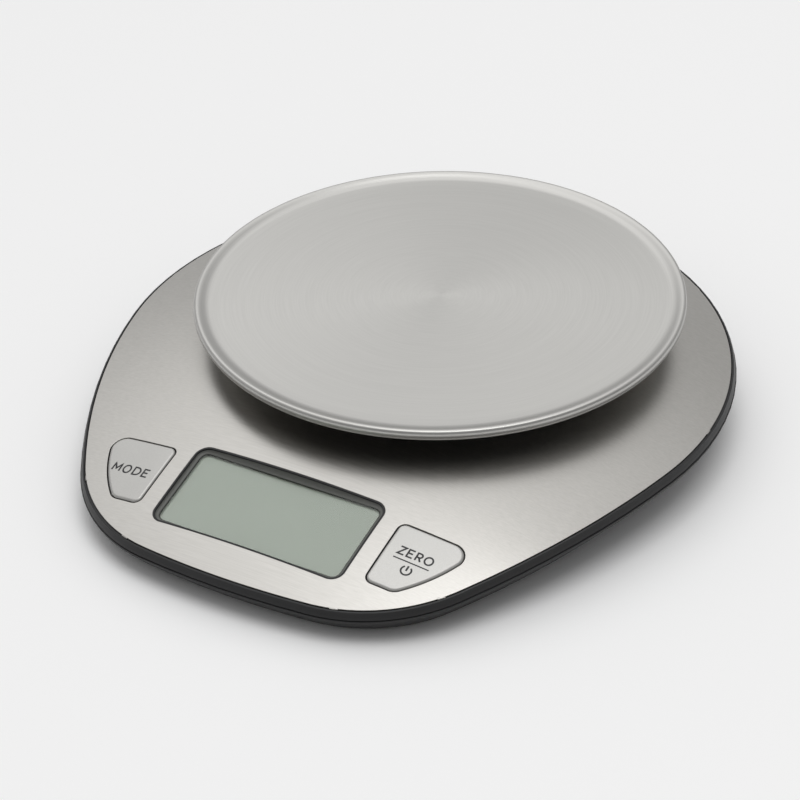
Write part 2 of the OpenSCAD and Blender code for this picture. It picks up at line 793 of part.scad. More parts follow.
// Four-core lead from the load cell to the circuit board
cell_side = platter_y - cell_w / 2;
tail_x = -bay_w / 2 - bay_wall - contact_tail - 0.6;
tail_z = battery_z + contact_tail_z + 0.35;
cell_lead_points = [[-12, cell_side - 0.35, 13], [-13, cell_side - 5.5, 12],
    [-22, cell_side - 13.5, 7], [-34, -6, 6], [-35, -24, 6],
    [-34, -40, 7], [-31, -50, 14], [-30, -57, 17.4], on_slope([-30, 20, board_top + 1.6])];
lead_red_points = [[tail_x, battery_y - bay_front, tail_z], [tail_x - 2.7, -20, 12.4],
    [-31, -36, 12.6], [-27, -50, 16], [-24, -57, 17.4], on_slope([-22, 20, board_top + 1.2])];
lead_black_points = [[tail_x, -battery_y - bay_front, tail_z], [tail_x - 2.2, -31, 11],
    [-28, -42, 11.4], [-22, -50, 15.4], [-18, -57, 17.2], on_slope([-16, 20, board_top + 1.2])];

module cell_lead() {
    color([0.85, 0.85, 0.83]) tube(concat(route(cell_lead_points, 4),
        [cell_lead_points[len(cell_lead_points) - 1]]), 1.1, 8);
}

module battery_lead_red() {
    color("firebrick") tube(concat(route(lead_red_points, 4),
        [lead_red_points[len(lead_red_points) - 1]]), 0.6, 8);
}

module battery_lead_black() {
    color([0.1, 0.1, 0.1]) tube(concat(route(lead_black_points, 4),
        [lead_black_points[len(lead_black_points) - 1]]), 0.6, 8);
}

// Circuit board, hung under the shell parallel to the display
module main_board() {
    color("darkgreen") on_panel() difference() {
        translate([0, 0, board_low]) linear_extrude(board_t) polygon([
            [-board_w / 2 + board_front, -board_front], [board_w / 2 - board_front, -board_front],
            [board_w / 2, 0], [board_w / 2, key_h / 2], [board_tail_w / 2, key_h / 2],
            [board_tail_w / 2, board_rear], [-board_tail_w / 2, board_rear],
            [-board_tail_w / 2, key_h / 2], [-board_w / 2, key_h / 2], [-board_w / 2, 0]]);
        for (p = board_screw_at) translate([p.x, p.y, -beyond / 2])
            cylinder(h = beyond, r = screw_r + 0.2);
    }
}

// Drop of black resin over the chip, under the board
module board_chip() {
    color([0.08, 0.08, 0.08]) on_panel() translate([0, 6, board_low]) intersection() {
        translate([0, 0, -2 * chip_h]) cylinder(h = 2 * chip_h, r = chip_r);
        translate([0, 0, chip_ball - chip_h]) sphere(chip_ball, $fn = 96);
    }
}

module board_screws() {
    color(zinc) on_panel() for (p = board_screw_at) translate([p.x, p.y, board_low])
        screw(screw_r, head_r, board_head_h, board_screw_l);
}

// Clear pane behind the window in the cover
module display_pane() {
    color([0.9, 0.95, 0.95, 0.35]) on_panel() translate([0, 0, -pane_depth - pane_t])
        linear_extrude(pane_t) window_shape(pane_w, pane_h, window_r);
}

module display_glass() {
    color([0.62, 0.65, 0.59]) on_panel()
        block([-0.5, 0.5] * glass_w, [-0.5, 0.5] * glass_h, [glass_low, glass_top]);
}

// Frame that holds the display glass on the board
module display_frame() {
    front = -board_front - 2;
    color([0.2, 0.2, 0.2]) on_panel() difference() {
        union() {
            block([-0.5, 0.5] * frame_w, [-0.5, 0.5] * frame_h, [glass_low - 1.4, frame_top]);
            block([-0.5, 0.5] * frame_w, [front + 3, frame_h / 2], [board_top, frame_top]);
        }
        block([-0.5, 0.5] * (glass_w + 0.3), [-0.5, 0.5] * (glass_h + 0.3), [glass_low, beyond]);
        block([-0.5, 0.5] * (glass_w - 5), [front + 5, glass_h / 2 - 1], [-beyond, beyond]);
    }
}

// Rubber strip that joins the contacts of the board and of the glass
module contact_strip() {
    strip_y = glass_h / 2 - 2.6;
    color([0.75, 0.45, 0.45]) on_panel()
        block([-0.5, 0.5] * (glass_w - 8), [strip_y - 1.2, strip_y + 1.2],
            [board_top, glass_low]);
}

// A key: curved cap, hidden flange that holds it under the shell, and a post
module key() {
    difference() {
        union() {
            intersection() {
                translate([0, 0, -beyond / 2]) linear_extrude(beyond) key_shape(0);
                under_panel_dome(-key_proud);
            }
            intersection() {
                translate([0, 0, -beyond / 2]) linear_extrude(beyond)
                    key_shape(key_gap + flange_lap);
                under_panel_dome(shell_drop + flange_gap);
            }
        }
        under_panel_dome(shell_drop + flange_gap + flange_t);
        intersection() {
            translate([0, 0, -beyond / 2]) linear_extrude(beyond) key_shape(-key_wall);
            under_panel_dome(key_wall - key_proud);
        }
    }
    post_z = board_top + switch_h + pin_h + post_gap;
    roof_z = -key_mid * key_mid / (2 * dome_r) - key_wall + key_proud;
    translate([key_mid, 0, post_z]) cylinder(h = roof_z - post_z + key_wall / 3, r = pin_r);
}

module mode_button() {
    color(satin) mirror([1, 0, 0]) on_panel() key();
}

module zero_button() {
    color(satin) on_panel() key();
}

// Moving pin of the switch under each key
module switch_pin() {
    translate([key_mid, 0, board_top + switch_h - pin_in]) cylinder(h = pin_h + pin_in, r = pin_r);
}

module mode_switch_pin() {
    color([0.1, 0.1, 0.1]) mirror([1, 0, 0]) on_panel() switch_pin();
}

module zero_switch_pin() {
    color([0.1, 0.1, 0.1]) on_panel() switch_pin();
}

// The two push switches on the board
module tact_switches() {
    color(zinc) both_sides() on_panel() difference() {
        block([key_mid - switch_w / 2, key_mid + switch_w / 2], [-0.5, 0.5] * switch_w,
            [board_top, board_top + switch_h]);
        translate([key_mid, 0, board_top + switch_h - pin_in - key_travel - pin_room])
            cylinder(h = beyond, r = pin_r + 0.1);
    }
}

// Battery door, flush with the tray, with two hooks at its rear and a ribbed thumb grip
module battery_door() {
    w = bay_w - 2 * door_gap;
    d = bay_d - 2 * door_gap;
    color(black) translate([0, -bay_front, 0]) difference() {
        union() {
            block([-w / 2, w / 2], [-d / 2, d / 2], [clear_h, floor_top]);
            for (x = [-hook_x, hook_x]) block([x - hook_w / 2, x + hook_w / 2],
                [d / 2 - 2, d / 2 + hook_out], [floor_top - join, floor_top + hook_h]);
        }
        // Two slots that free the spring latch, and grip lines across it
        for (x = [-1, 1] * (latch_w + latch_cut) / 2) block(span(x, latch_cut),
            [-d, -d / 2 + latch_l], [0, beyond]);
        for (y = [1.4:1.5:latch_l]) block(span(0, latch_w - 2), span(y - d / 2, 0.7),
            [0, clear_h + 0.4]);
    }
}

// Two AAA cells, side by side and turned end for end
module batteries() {
    end = bay_w / 2 - contact_t - 0.3;
    color("goldenrod") translate([0, -bay_front, battery_z]) for (side = [-1, 1])
        translate([-side * end, side * battery_y, 0]) rotate([0, side * 90, 0])
            translate([0, 0, 2 * end - battery_l]) {
                cylinder(h = battery_l - 0.8, r = battery_d / 2);
                cylinder(h = battery_l, r = 1.9);
            }
}

// Contact plates at both ends of the bay; the left ones have solder tails
module battery_contacts() {
    x = bay_w / 2;
    half = [-1, 1] * contact_r;
    color(zinc) translate([0, -bay_front, battery_z]) {
        block([x - contact_t, x], [-1, 1] * (battery_y + contact_r), half);
        for (y = [-battery_y, battery_y]) {
            block([-x, -x + contact_t], span(y, 2 * contact_r), half);
            block([-x - bay_wall - contact_tail, -x + contact_t], span(y, contact_r / 2),
                [contact_tail_z, contact_tail_z + contact_t]);
        }
    }
}

// Points of a conical coil spring, wound up the Z axis
function coil(r1, r2, h, turns) = [for (i = [0:8 * turns]) let (u = i / (8 * turns))
    [(r1 + (r2 - r1) * u) * cos(45 * i), (r1 + (r2 - r1) * u) * sin(45 * i), h * u]];

// The two battery springs, each one unbroken wire
spring_h = spring_room - spring_wire;
spring_points = coil(spring_r1, spring_r2, spring_h, spring_turns);
spring_least_gap = min([for (i = [0:len(spring_points) - 1], j = [i + 5:1:len(spring_points) - 1])
    norm(spring_points[i] - spring_points[j])]) - spring_wire;
echo(spring_least_gap = spring_least_gap);

module battery_springs() {
    color(zinc) translate([0, -bay_front, battery_z]) for (side = [-1, 1])
        translate([-side * (bay_w / 2 - contact_t - spring_wire / 2), side * battery_y, 0])
            rotate([0, side * 90, 0]) tube(spring_points, spring_wire / 2, 6);
}

module rubber_feet() {
    color([0.16, 0.16, 0.16]) both_sides() for (p = feet_at) translate([p.x, p.y, 0])
        rotate_extrude() polygon([[0, 0], [foot_d / 2 - 0.6, 0], [foot_d / 2, 0.6],
            [foot_d / 2, clear_h + foot_pocket], [0, clear_h + foot_pocket]]);
}

module housing_screws() {
    color(zinc) both_sides() for (p = screw_at)
        translate([p.x, p.y, split_z - well_roof]) screw(screw_r, head_r, head_h, screw_l);
}

top_cover();
upper_housing();
lower_housing();
weighing_platter();
platter_hub();
platter_support();
support_spacer();
support_screws();
load_cell();
gauge_coating();
cell_screws();
cell_lead();
main_board();
board_chip();
board_screws();
display_pane();
display_glass();
display_frame();
contact_strip();
mode_button();
mode_switch_pin();
zero_button();
zero_switch_pin();
tact_switches();
battery_door();
batteries();
battery_contacts();
battery_springs();
battery_lead_red();
battery_lead_black();
rubber_feet();
housing_screws();
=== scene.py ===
import json
import math

import bmesh
import bpy
import numpy as np
from mathutils import Matrix, Vector, geometry

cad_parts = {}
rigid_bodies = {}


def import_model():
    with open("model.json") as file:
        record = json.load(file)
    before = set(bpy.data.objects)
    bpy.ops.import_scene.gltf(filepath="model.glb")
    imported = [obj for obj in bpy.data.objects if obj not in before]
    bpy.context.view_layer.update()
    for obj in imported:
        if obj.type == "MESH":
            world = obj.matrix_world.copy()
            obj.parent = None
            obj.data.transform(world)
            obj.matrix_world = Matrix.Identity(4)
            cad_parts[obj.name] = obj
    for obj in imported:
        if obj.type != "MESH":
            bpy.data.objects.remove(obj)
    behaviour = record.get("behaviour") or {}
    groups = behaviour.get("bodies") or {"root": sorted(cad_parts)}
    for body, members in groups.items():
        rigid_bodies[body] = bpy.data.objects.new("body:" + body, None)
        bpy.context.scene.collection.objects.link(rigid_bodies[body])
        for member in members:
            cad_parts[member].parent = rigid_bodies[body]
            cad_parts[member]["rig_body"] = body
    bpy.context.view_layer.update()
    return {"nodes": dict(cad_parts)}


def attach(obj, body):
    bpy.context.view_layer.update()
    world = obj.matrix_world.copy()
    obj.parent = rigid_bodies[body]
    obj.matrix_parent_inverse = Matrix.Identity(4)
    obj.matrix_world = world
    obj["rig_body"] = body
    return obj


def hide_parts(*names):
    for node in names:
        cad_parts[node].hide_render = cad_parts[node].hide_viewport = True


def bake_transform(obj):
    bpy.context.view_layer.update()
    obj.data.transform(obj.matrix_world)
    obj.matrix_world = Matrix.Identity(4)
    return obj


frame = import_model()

nodes = frame["nodes"]
MM = 0.001

# Photographer's view: the scale stands on white paper and is seen from the front right,
# about 34 degrees above the table, through a long lens that hardly narrows the rear.
VIEW_FROM = Vector((0.39741, -0.66690, 0.53479))
VIEW_RIGHT = Vector((0.86521, 0.50090, -0.02250))
VIEW_UP = Vector((-0.26499, 0.49490, 0.82756))
LENS, SENSOR = 130.07, 36


def in_scene(name, data):
    """Adds an object that shows the data."""
    made = bpy.data.objects.new(name, data)
    bpy.context.collection.objects.link(made)
    return made


camera = in_scene("camera", bpy.data.cameras.new("camera"))
camera.data.lens, camera.data.sensor_width = LENS, SENSOR
camera.data.clip_start, camera.data.clip_end = 0.05, 30
turn = Matrix((VIEW_RIGHT, VIEW_UP, VIEW_RIGHT.cross(VIEW_UP))).transposed()
camera.matrix_world = Matrix.Translation(VIEW_FROM) @ turn.to_4x4()
bpy.context.scene.camera = camera
bpy.context.scene.view_settings.view_transform = "Standard"


# Studio: white paper under a soft light that fills the wall and ceiling behind on the left,
# where the cover's front looks, and falls off all round. One lamp hangs overhead, out of
# the cover's sight, and deepens the shadow round the foot of the scale.
def rgba(hex_code):
    """Linear colour from an sRGB hex code."""
    parts = [int(hex_code[i:i + 2], 16) / 255 for i in (1, 3, 5)]
    line = [c / 12.92 if c <= 0.04045 else ((c + 0.055) / 1.055) ** 2.4 for c in parts]
    return (*line, 1.0)


def add_node(tree, kind, links=None, **settings):
    """Adds a node. Links maps an input to a value or to another node's output."""
    made = tree.nodes.new(kind)
    for name, value in settings.items():
        setattr(made, name, value)
    for name, value in (links or {}).items():
        if isinstance(value, bpy.types.NodeSocket):
            tree.links.new(value, made.inputs[name])
        else:
            made.inputs[name].default_value = value
    return made


# Direction of the brightest part, and the light's level by nearness to it.
LIGHT_FROM = (-0.405, 0.42, 0.812)
LIGHT_LEVELS = ((0.0, 0.32), (0.35, 0.45), (0.67, 0.62), (0.84, 0.63), (0.90, 0.95),
                (0.945, 1.32), (1.0, 1.46))
world = bpy.data.worlds.new("studio")
bpy.context.scene.world = world
world.use_nodes = True
tree = world.node_tree
tree.nodes.clear()
way = add_node(tree, "ShaderNodeTexCoord")
nearness = add_node(tree, "ShaderNodeVectorMath", {0: way.outputs["Generated"], 1: LIGHT_FROM},
                    operation="DOT_PRODUCT")
walls = add_node(tree, "ShaderNodeValToRGB", {"Fac": nearness.outputs["Value"]})
stops = walls.color_ramp.elements
for place, _ in LIGHT_LEVELS[1:-1]:
    stops.new(place)
for stop, (place, level) in zip(stops, LIGHT_LEVELS):
    stop.position, stop.color = place, (level, level, level, 1)
glow = add_node(tree, "ShaderNodeBackground", {"Color": walls.outputs["Color"], "Strength": 1.0})
add_node(tree, "ShaderNodeOutputWorld", {"Surface": glow.outputs["Background"]})

LAMP_AT, LAMP_SIDE, LAMP_WATTS = Vector((0.32, -0.05, 2.2)), 1.5, 14.5
lamp = in_scene("overhead_lamp", bpy.data.lights.new("overhead_lamp", "AREA"))
lamp.data.shape = "SQUARE"
lamp.data.size = LAMP_SIDE
lamp.data.energy = LAMP_WATTS
lamp.location = LAMP_AT
lamp.rotation_mode = "QUATERNION"
lamp.rotation_quaternion = (-LAMP_AT).to_track_quat("-Z", "Y")

# Matt white paper: it shows a soft shadow and no shine.
CORNERS = ((-1, -1), (1, -1), (1, 1), (-1, 1))
PAPER_REACH = 12
paper = bpy.data.meshes.new("paper")
paper.from_pydata([(x * PAPER_REACH, y * PAPER_REACH, 0) for x, y in CORNERS], [], [(0, 1, 2, 3)])
floor = in_scene("floor", paper)
white_paper = bpy.data.materials.new("white_backdrop_paper")
white_paper.use_nodes = True
tree = white_paper.node_tree
tree.nodes.clear()
matt = add_node(tree, "ShaderNodeBsdfDiffuse", {"Color": rgba("#FCFCFC")})
add_node(tree, "ShaderNodeOutputMaterial", {"Surface": matt.outputs["BSDF"]})
paper.materials.append(white_paper)


# Steel cover: a sheet of 0.5 mm stainless steel, pressed to a shallow dome and brushed from
# side to side. It has a round hole for the platter's neck and cut-outs for the display and
# the keys, and folded tabs round its edge hook it onto the shell.
COVER_LENGTH = 221.0
REAR_R, SIDE_R, CORNER_R, FRONT_R = 100.0, 216.0, 54.0, 210.0
SIDE_TURN = math.radians(11.7)
DOME_R, DOME_TOP, DOME_Y = 400.0, 32.0, 16.3
COVER_T, COVER_FOLD, COVER_STEP, EDGE_STEP = 0.5, 0.12, 2.4, 1.2
PLATTER_Y = 22.9
NECK_HOLE_R, NECK_SIDES = 18.5, 120
PANEL_Y = -83.7
WINDOW_W, WINDOW_H, WINDOW_R = 67.8, 32.2, 4.4
TAB_TURNS = (-73.6, -39.5, 3.0, 52.0)
TAB_HALF_W = 1.25
# Each corner is how far out of the cover's edge it lies, and how far below it.
TAB_SECTION = ((-0.45, -0.02), (-0.1, -0.02), (0.1, 0.08), (0.21, 0.22), (0.25, 0.42),
               (0.25, 1.9), (-0.25, 1.9), (-0.25, 0.42), (-0.45, 0.42))


def dome_z(x, y):
    return DOME_TOP - DOME_R + math.sqrt(DOME_R ** 2 - x * x - (y - DOME_Y) ** 2)


def dome_up(x, y):
    """Outward direction of the dome over a point of the plan."""
    up = Vector((x, y - DOME_Y, math.sqrt(DOME_R ** 2 - x * x - (y - DOME_Y) ** 2)))
    return up.normalized()


def toward(turn):
    """Unit direction in the plan at an angle from +X."""
    return Vector((math.cos(turn), math.sin(turn)))


def arc_meet(a, ra, b, rb):
    """Centre that lies ra from a and rb from b, on the right-hand side."""
    d = (b - a).length
    u = (b - a) / d
    along = (ra * ra - rb * rb + d * d) / (2 * d)
    across = math.sqrt(ra * ra - along * along)
    return a + along * u + across * Vector((-u.y, u.x))


rear_c = Vector((0, COVER_LENGTH / 2 - REAR_R))
side_c = rear_c + (REAR_R - SIDE_R) * toward(-SIDE_TURN)
front_c = Vector((0, FRONT_R - COVER_LENGTH / 2))
corner_c = arc_meet(front_c, FRONT_R - CORNER_R, side_c, SIDE_R - CORNER_R)
front_turn = math.atan2(corner_c.y - front_c.y, corner_c.x - front_c.x)
corner_turn = math.atan2(corner_c.y - side_c.y, corner_c.x - side_c.x)
edge_arcs = ((front_c, FRONT_R, -math.pi / 2, front_turn),
             (corner_c, CORNER_R, front_turn, corner_turn),
             (side_c, SIDE_R, corner_turn, -SIDE_TURN),
             (rear_c, REAR_R, -SIDE_TURN, math.pi / 2))


def body_outline():
    """Stations round the cover's edge, in order: a point and its outward direction."""
    half = []
    for c, r, a, b in edge_arcs:
        count = max(2, round(r * (b - a) / EDGE_STEP))
        for i in range(count):
            way = toward(a + (b - a) * i / count)
            half.append((c + r * way, way))
    top = (rear_c + Vector((0, REAR_R)), Vector((0, 1)))
    left = [(Vector((-p.x, p.y)), Vector((-w.x, w.y))) for p, w in half[:0:-1]]
    return half + [top] + left


def edge_point(turn, inset=0.0):
    """Point of the right-hand edge whose outward direction has this angle, moved inward."""
    for c, r, a, b in edge_arcs:
        if turn < b or c is rear_c:
            way = toward(turn)
            return c + (r - inset) * way, way


def rounded(points, r, step=0.35):
    """Closed line through corners, all rounded to one radius."""
    line = []
    for i, p in enumerate(points):
        before = (points[i - 1] - p).normalized()
        after = (points[(i + 1) % len(points)] - p).normalized()
        half = before.angle(after) / 2
        centre = p + (before + after).normalized() * r / math.sin(half)
        start, end = p + before * r / math.tan(half), p + after * r / math.tan(half)
        a, b = start - centre, end - centre
        sweep = a.angle(b)
        count = max(3, round(r * sweep / step))
        for k in range(count + 1):
            t = k / count
            s = math.sin(sweep)
            line.append(centre + a * (math.sin((1 - t) * sweep) / s)
                        + b * (math.sin(t * sweep) / s))
    return line


def resampled(line, step):
    """The same closed line with a point at least every step."""
    out = []
    for i, p in enumerate(line):
        q = line[(i + 1) % len(line)]
        count = max(1, math.ceil((q - p).length / step))
        out += [p.lerp(q, k / count) for k in range(count)]
    return out


def with_outward(line):
    """Pairs of point and outward direction, for a closed line that runs anticlockwise."""
    pairs = []
    for i, p in enumerate(line):
        along = (line[(i + 1) % len(line)] - line[i - 1]).normalized()
        pairs.append((p, Vector((along.y, -along.x))))
    return pairs


tilt = math.asin((DOME_Y - PANEL_Y) / DOME_R)
panel = Matrix.Translation((0, PANEL_Y, dome_z(0, PANEL_Y))) @ Matrix.Rotation(tilt, 4, "X")


def on_panel(x, y, depth=0.0):
    """Place of a point of the sloping panel: on the dome, or at a depth below it."""
    return panel @ Vector((x, y, math.sqrt(DOME_R ** 2 - x * x - y * y) - DOME_R - depth))


def panel_line(line):
    """The same line seen from above, where it cuts the dome."""
    return [on_panel(*p).xy for p in line]


KEY_ARC_C, KEY_ARC_R = Vector((15.475, 25.745)), 51.0
KEY_IN, KEY_HALF_H = 40.15, 11.8
KEY_INNER_R, KEY_OUTER_R = 2.4, 4.4
KEY_GAP = 0.35


def arc(centre, r, start, end, step=0.35):
    """Points along part of a circle."""
    count = max(3, round(r * abs(end - start) / step))
    return [centre + r * toward(t) for t in np.linspace(start, end, count + 1)]


def key_line(side, grow=0.0):
    """Outline of a key on the panel: straight inside, an arc outside. Side is -1 or 1."""
    reach, level = KEY_ARC_R - KEY_OUTER_R, KEY_HALF_H - KEY_OUTER_R
    low_turn, high_turn = (math.asin((y - KEY_ARC_C.y) / reach) for y in (-level, level))
    low, high = KEY_ARC_C + reach * toward(low_turn), KEY_ARC_C + reach * toward(high_turn)
    inner_x, inner_y = KEY_IN + KEY_INNER_R, KEY_HALF_H - KEY_INNER_R
    quarter = math.pi / 2
    line = (arc(Vector((inner_x, -inner_y)), KEY_INNER_R, -2 * quarter, -quarter)
            + arc(low, KEY_OUTER_R, -quarter, low_turn)
            + arc(KEY_ARC_C, KEY_ARC_R, low_turn, high_turn, 1.0)
            + arc(high, KEY_OUTER_R, high_turn, quarter)
            + arc(Vector((inner_x, inner_y)), KEY_INNER_R, quarter, 2 * quarter))
    line = [p for i, p in enumerate(line) if (p - line[i - 1]).length > 1e-6]
    line = [p + w * grow for p, w in with_outward(resampled(line, 1.0))]
    if side < 0:
        line = [Vector((-p.x, p.y)) for p in line[::-1]]
    return line


def circle_line(x, y, r, count):
    return [Vector((x + r * math.cos(t), y + r * math.sin(t)))
            for t in np.linspace(0, 2 * math.pi, count, endpoint=False)]


def inside(points, line):
    """Which points lie inside a closed line."""
    x, y = points[:, 0], points[:, 1]
    hit = np.zeros(len(points), bool)
    for i, b in enumerate(line):
        a = line[i - 1]
        if a.y == b.y:
            continue
        crosses = (a.y > y) != (b.y > y)
        hit ^= crosses & (x < (b.x - a.x) * (y - a.y) / (b.y - a.y) + a.x)
    return hit


def far_from(points, line, gap):
    """Which points lie further than gap from a line's own points."""
    keep = np.ones(len(points), bool)
    for p in line:
        keep &= ((points - np.array(p)) ** 2).sum(1) > gap * gap
    return keep


def fill(outer, holes, step):
    """Even triangles between closed lines: points, triangles and the lines' numbers."""

    def on_sheet(spots):
        keep = inside(spots, outer)
        for hole in holes:
            keep &= ~inside(spots, hole)
        return keep

    edge = np.array([tuple(p) for p in outer])
    lo, hi = edge.min(axis=0), edge.max(axis=0)
    row, clear = step * 0.866, step * 0.6
    grid = np.array([(x, y) for j, y in enumerate(np.arange(lo[1], hi[1], row))
                     for x in np.arange(lo[0] + (j % 2) * step / 2, hi[0], step)])
    grid = grid[on_sheet(grid)]
    points, edges, loops = [], [], []
    for line in [outer, *holes]:
        grid = grid[far_from(grid, line, clear)]
        numbers = list(range(len(points), len(points) + len(line)))
        points += line
        edges += zip(numbers, numbers[1:] + numbers[:1])
        loops.append(numbers)
    points += [Vector(g) for g in grid]
    spots, _, faces, came_from, _, _ = geometry.delaunay_2d_cdt(points, edges, [], 0, 1e-6)
    number = {k: new for new, old in enumerate(came_from) for k in old}
    mids = np.array([tuple(sum((spots[k] for k in f), Vector((0, 0))) / 3) for f in faces])
    kept = []
    for f, ok in zip(faces, on_sheet(mids)):
        if ok:
            a, b, c = (spots[k] for k in f)
            kept.append(tuple(f if (b - a).cross(c - a) > 0 else f[::-1]))
    return spots, kept, [[number[k] for k in loop] for loop in loops]


class Shell:
    """Points in mm, faces and the direction each face corner looks in."""

    def __init__(self):
        self.spots, self.faces, self.ups = [], [], []

    def point(self, spot):
        self.spots.append(Vector(spot))
        return len(self.spots) - 1

    def face(self, numbers, ups=None):
        """Adds a face. Without directions of its own it is flat."""
        if ups is None:
            up = geometry.normal([self.spots[k] for k in numbers])
            ups = [up] * len(numbers)
        self.faces.append(tuple(numbers))
        self.ups += ups

    def strip(self, low, high, low_ups=None, high_ups=None):
        """Joins two closed rings of points with faces that look away from their middle."""
        for i in range(len(low)):
            j = (i + 1) % len(low)
            ups = low_ups and [low_ups[i], low_ups[j], high_ups[j], high_ups[i]]
            self.face((low[i], low[j], high[j], high[i]), ups)

    def piece(self, name, finish, flat_map=None):
        """Makes the object. A flat map gives each vertex its place on the grain map."""
        mesh = bpy.data.meshes.new(name)
        mesh.from_pydata([p * MM for p in self.spots], [], self.faces)
        mesh.shade_smooth()
        mesh.normals_split_custom_set([tuple(u) for u in self.ups])
        if flat_map:
            grain = mesh.uv_layers.new(name="grain")
            for loop in mesh.loops:
                grain.data[loop.index].uv = flat_map(mesh.vertices[loop.vertex_index].co)
        mesh.materials.append(finish)
        return in_scene(name, mesh)


def pressed_sheet(outer, holes, thickness, fold, step, height, up):
    """Closed sheet whose edges are rolled over by the press."""
    sheet = Shell()
    lines = [with_outward(outer)] + [with_outward(h) for h in holes]
    inner = [p - w * fold for p, w in lines[0]]
    widened = [[p + w * fold for p, w in line] for line in lines[1:]]
    flat, triangles, loops = fill(inner, widened, step)
    for drop in (0, thickness):
        for p in flat:
            sheet.point(Vector((*p, height(*p))) - up(*p) * drop)
    for t in triangles:
        back = t[::-1]
        sheet.face(t, [up(*flat[k]) for k in t])
        sheet.face([len(flat) + k for k in back], [-up(*flat[k]) for k in back])
    for which, (line, loop) in enumerate(zip(lines, loops)):
        sign = 1 if which == 0 else -1
        rows, ways = [loop], [[up(*flat[k]) for k in loop]]
        turns = [math.pi / 2 * k / 3 for k in (1, 2, 3)]
        section = [(fold * (math.sin(a) - 1), fold * (1 - math.cos(a)), a) for a in turns]
        for out, drop, a in section + [(0.0, thickness - fold * 0.3, math.pi / 2)]:
            row, way = [], []
            for p, w in line:
                q = p + w * sign * out
                n = up(*q)
                row.append(sheet.point(Vector((*q, height(*q))) - n * drop))
                way.append((n * math.cos(a) + (w * sign).to_3d() * math.sin(a)).normalized())
            rows.append(row)
            ways.append(way)
        rows.append([len(flat) + k for k in loop])
        ways.append(ways[-1])
        for k in range(len(rows) - 1):
            a, b = (k + 1, k) if sign > 0 else (k, k + 1)
            sheet.strip(rows[a], rows[b], ways[a], ways[b])
    return sheet


def new_finish(name):
    """Empty material with its tree and the piece's own coordinates."""
    material = bpy.data.materials.new(name)
    material.use_nodes = True
    material.node_tree.nodes.clear()
    own = add_node(material.node_tree, "ShaderNodeTexCoord")
    return material, material.node_tree, own.outputs["Object"]


def patterned(tree, pattern, dark, light, rough_span, lift, depth, gloss=None, relief=None,
              under=None, **inputs):
    """Ends a finish: tone, gloss and relief follow the pattern, or patterns of their own."""
    tone = add_node(tree, "ShaderNodeMix", {"Factor": pattern, 6: rgba(dark), 7: rgba(light)},
                    data_type="RGBA")
    rough = add_node(tree, "ShaderNodeMapRange", {
        "Value": gloss or pattern, "To Min": rough_span[0], "To Max": rough_span[1]})
    bump = add_node(tree, "ShaderNodeBump", {
        "Height": relief or pattern, "Strength": lift, "Distance": depth * MM})
    if under:
        tree.links.new(under, bump.inputs["Normal"])
    solid = add_node(tree, "ShaderNodeBsdfPrincipled", {
        "Base Color": tone.outputs[2], "Roughness": rough.outputs["Result"],
        "Normal": bump.outputs["Normal"], **inputs})
    add_node(tree, "ShaderNodeOutputMaterial", {"Surface": solid.outputs["BSDF"]})


# Stainless steel brushed with a belt: fine straight scratches from side to side, which
# draw the light out from front to back. Real scratches are 0.05 mm apart; 0.35 mm shows.
brushed_stainless, tree, own = new_finish("brushed_stainless_steel")
stretch = add_node(tree, "ShaderNodeMapping", {"Vector": own, "Scale": (18, 2900, 2900)})
scratches = add_node(tree, "ShaderNodeTexNoise",
                     {"Vector": stretch.outputs["Vector"], "Scale": 1.0, "Detail": 3.0})
grain = add_node(tree, "ShaderNodeTangent", direction_type="UV_MAP", uv_map="grain")
patterned(tree, scratches.outputs["Fac"], "#A9A7A3", "#C0BEBA", (0.27, 0.37), 0.08, 0.05,
          Metallic=1.0, Anisotropic=0.6, Tangent=grain.outputs["Tangent"])

window_corners = [Vector((x * WINDOW_W / 2, y * WINDOW_H / 2)) for x, y in CORNERS]
window_line = resampled(rounded(window_corners, WINDOW_R), EDGE_STEP)
cut_outs = [circle_line(0, PLATTER_Y, NECK_HOLE_R, NECK_SIDES), panel_line(window_line),
            panel_line(key_line(-1, KEY_GAP)), panel_line(key_line(1, KEY_GAP))]
sheet = pressed_sheet([p for p, _ in body_outline()], cut_outs, COVER_T, COVER_FOLD,
                      COVER_STEP, dome_z, dome_up)
for turn in TAB_TURNS:
    p, w = edge_point(math.radians(turn))
    for side in (1, -1):
        spot, out = Vector((side * p.x, p.y)), Vector((side * w.x, w.y, 0))
        along = Vector((-out.y, out.x, 0))
        ends = [[sheet.point(Vector((spot.x, spot.y, dome_z(*spot))) + out * o + along * a
                             - Vector((0, 0, drop))) for o, drop in TAB_SECTION]
                for a in (-TAB_HALF_W, TAB_HALF_W)]
        sheet.strip(*ends)
        sheet.face(ends[0][::-1])
        sheet.face(ends[1])
steel_cover = sheet.piece("steel_cover", brushed_stainless, lambda co: (co.x * 4, co.y * 4))
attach(steel_cover, "housing")
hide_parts("top_cover")


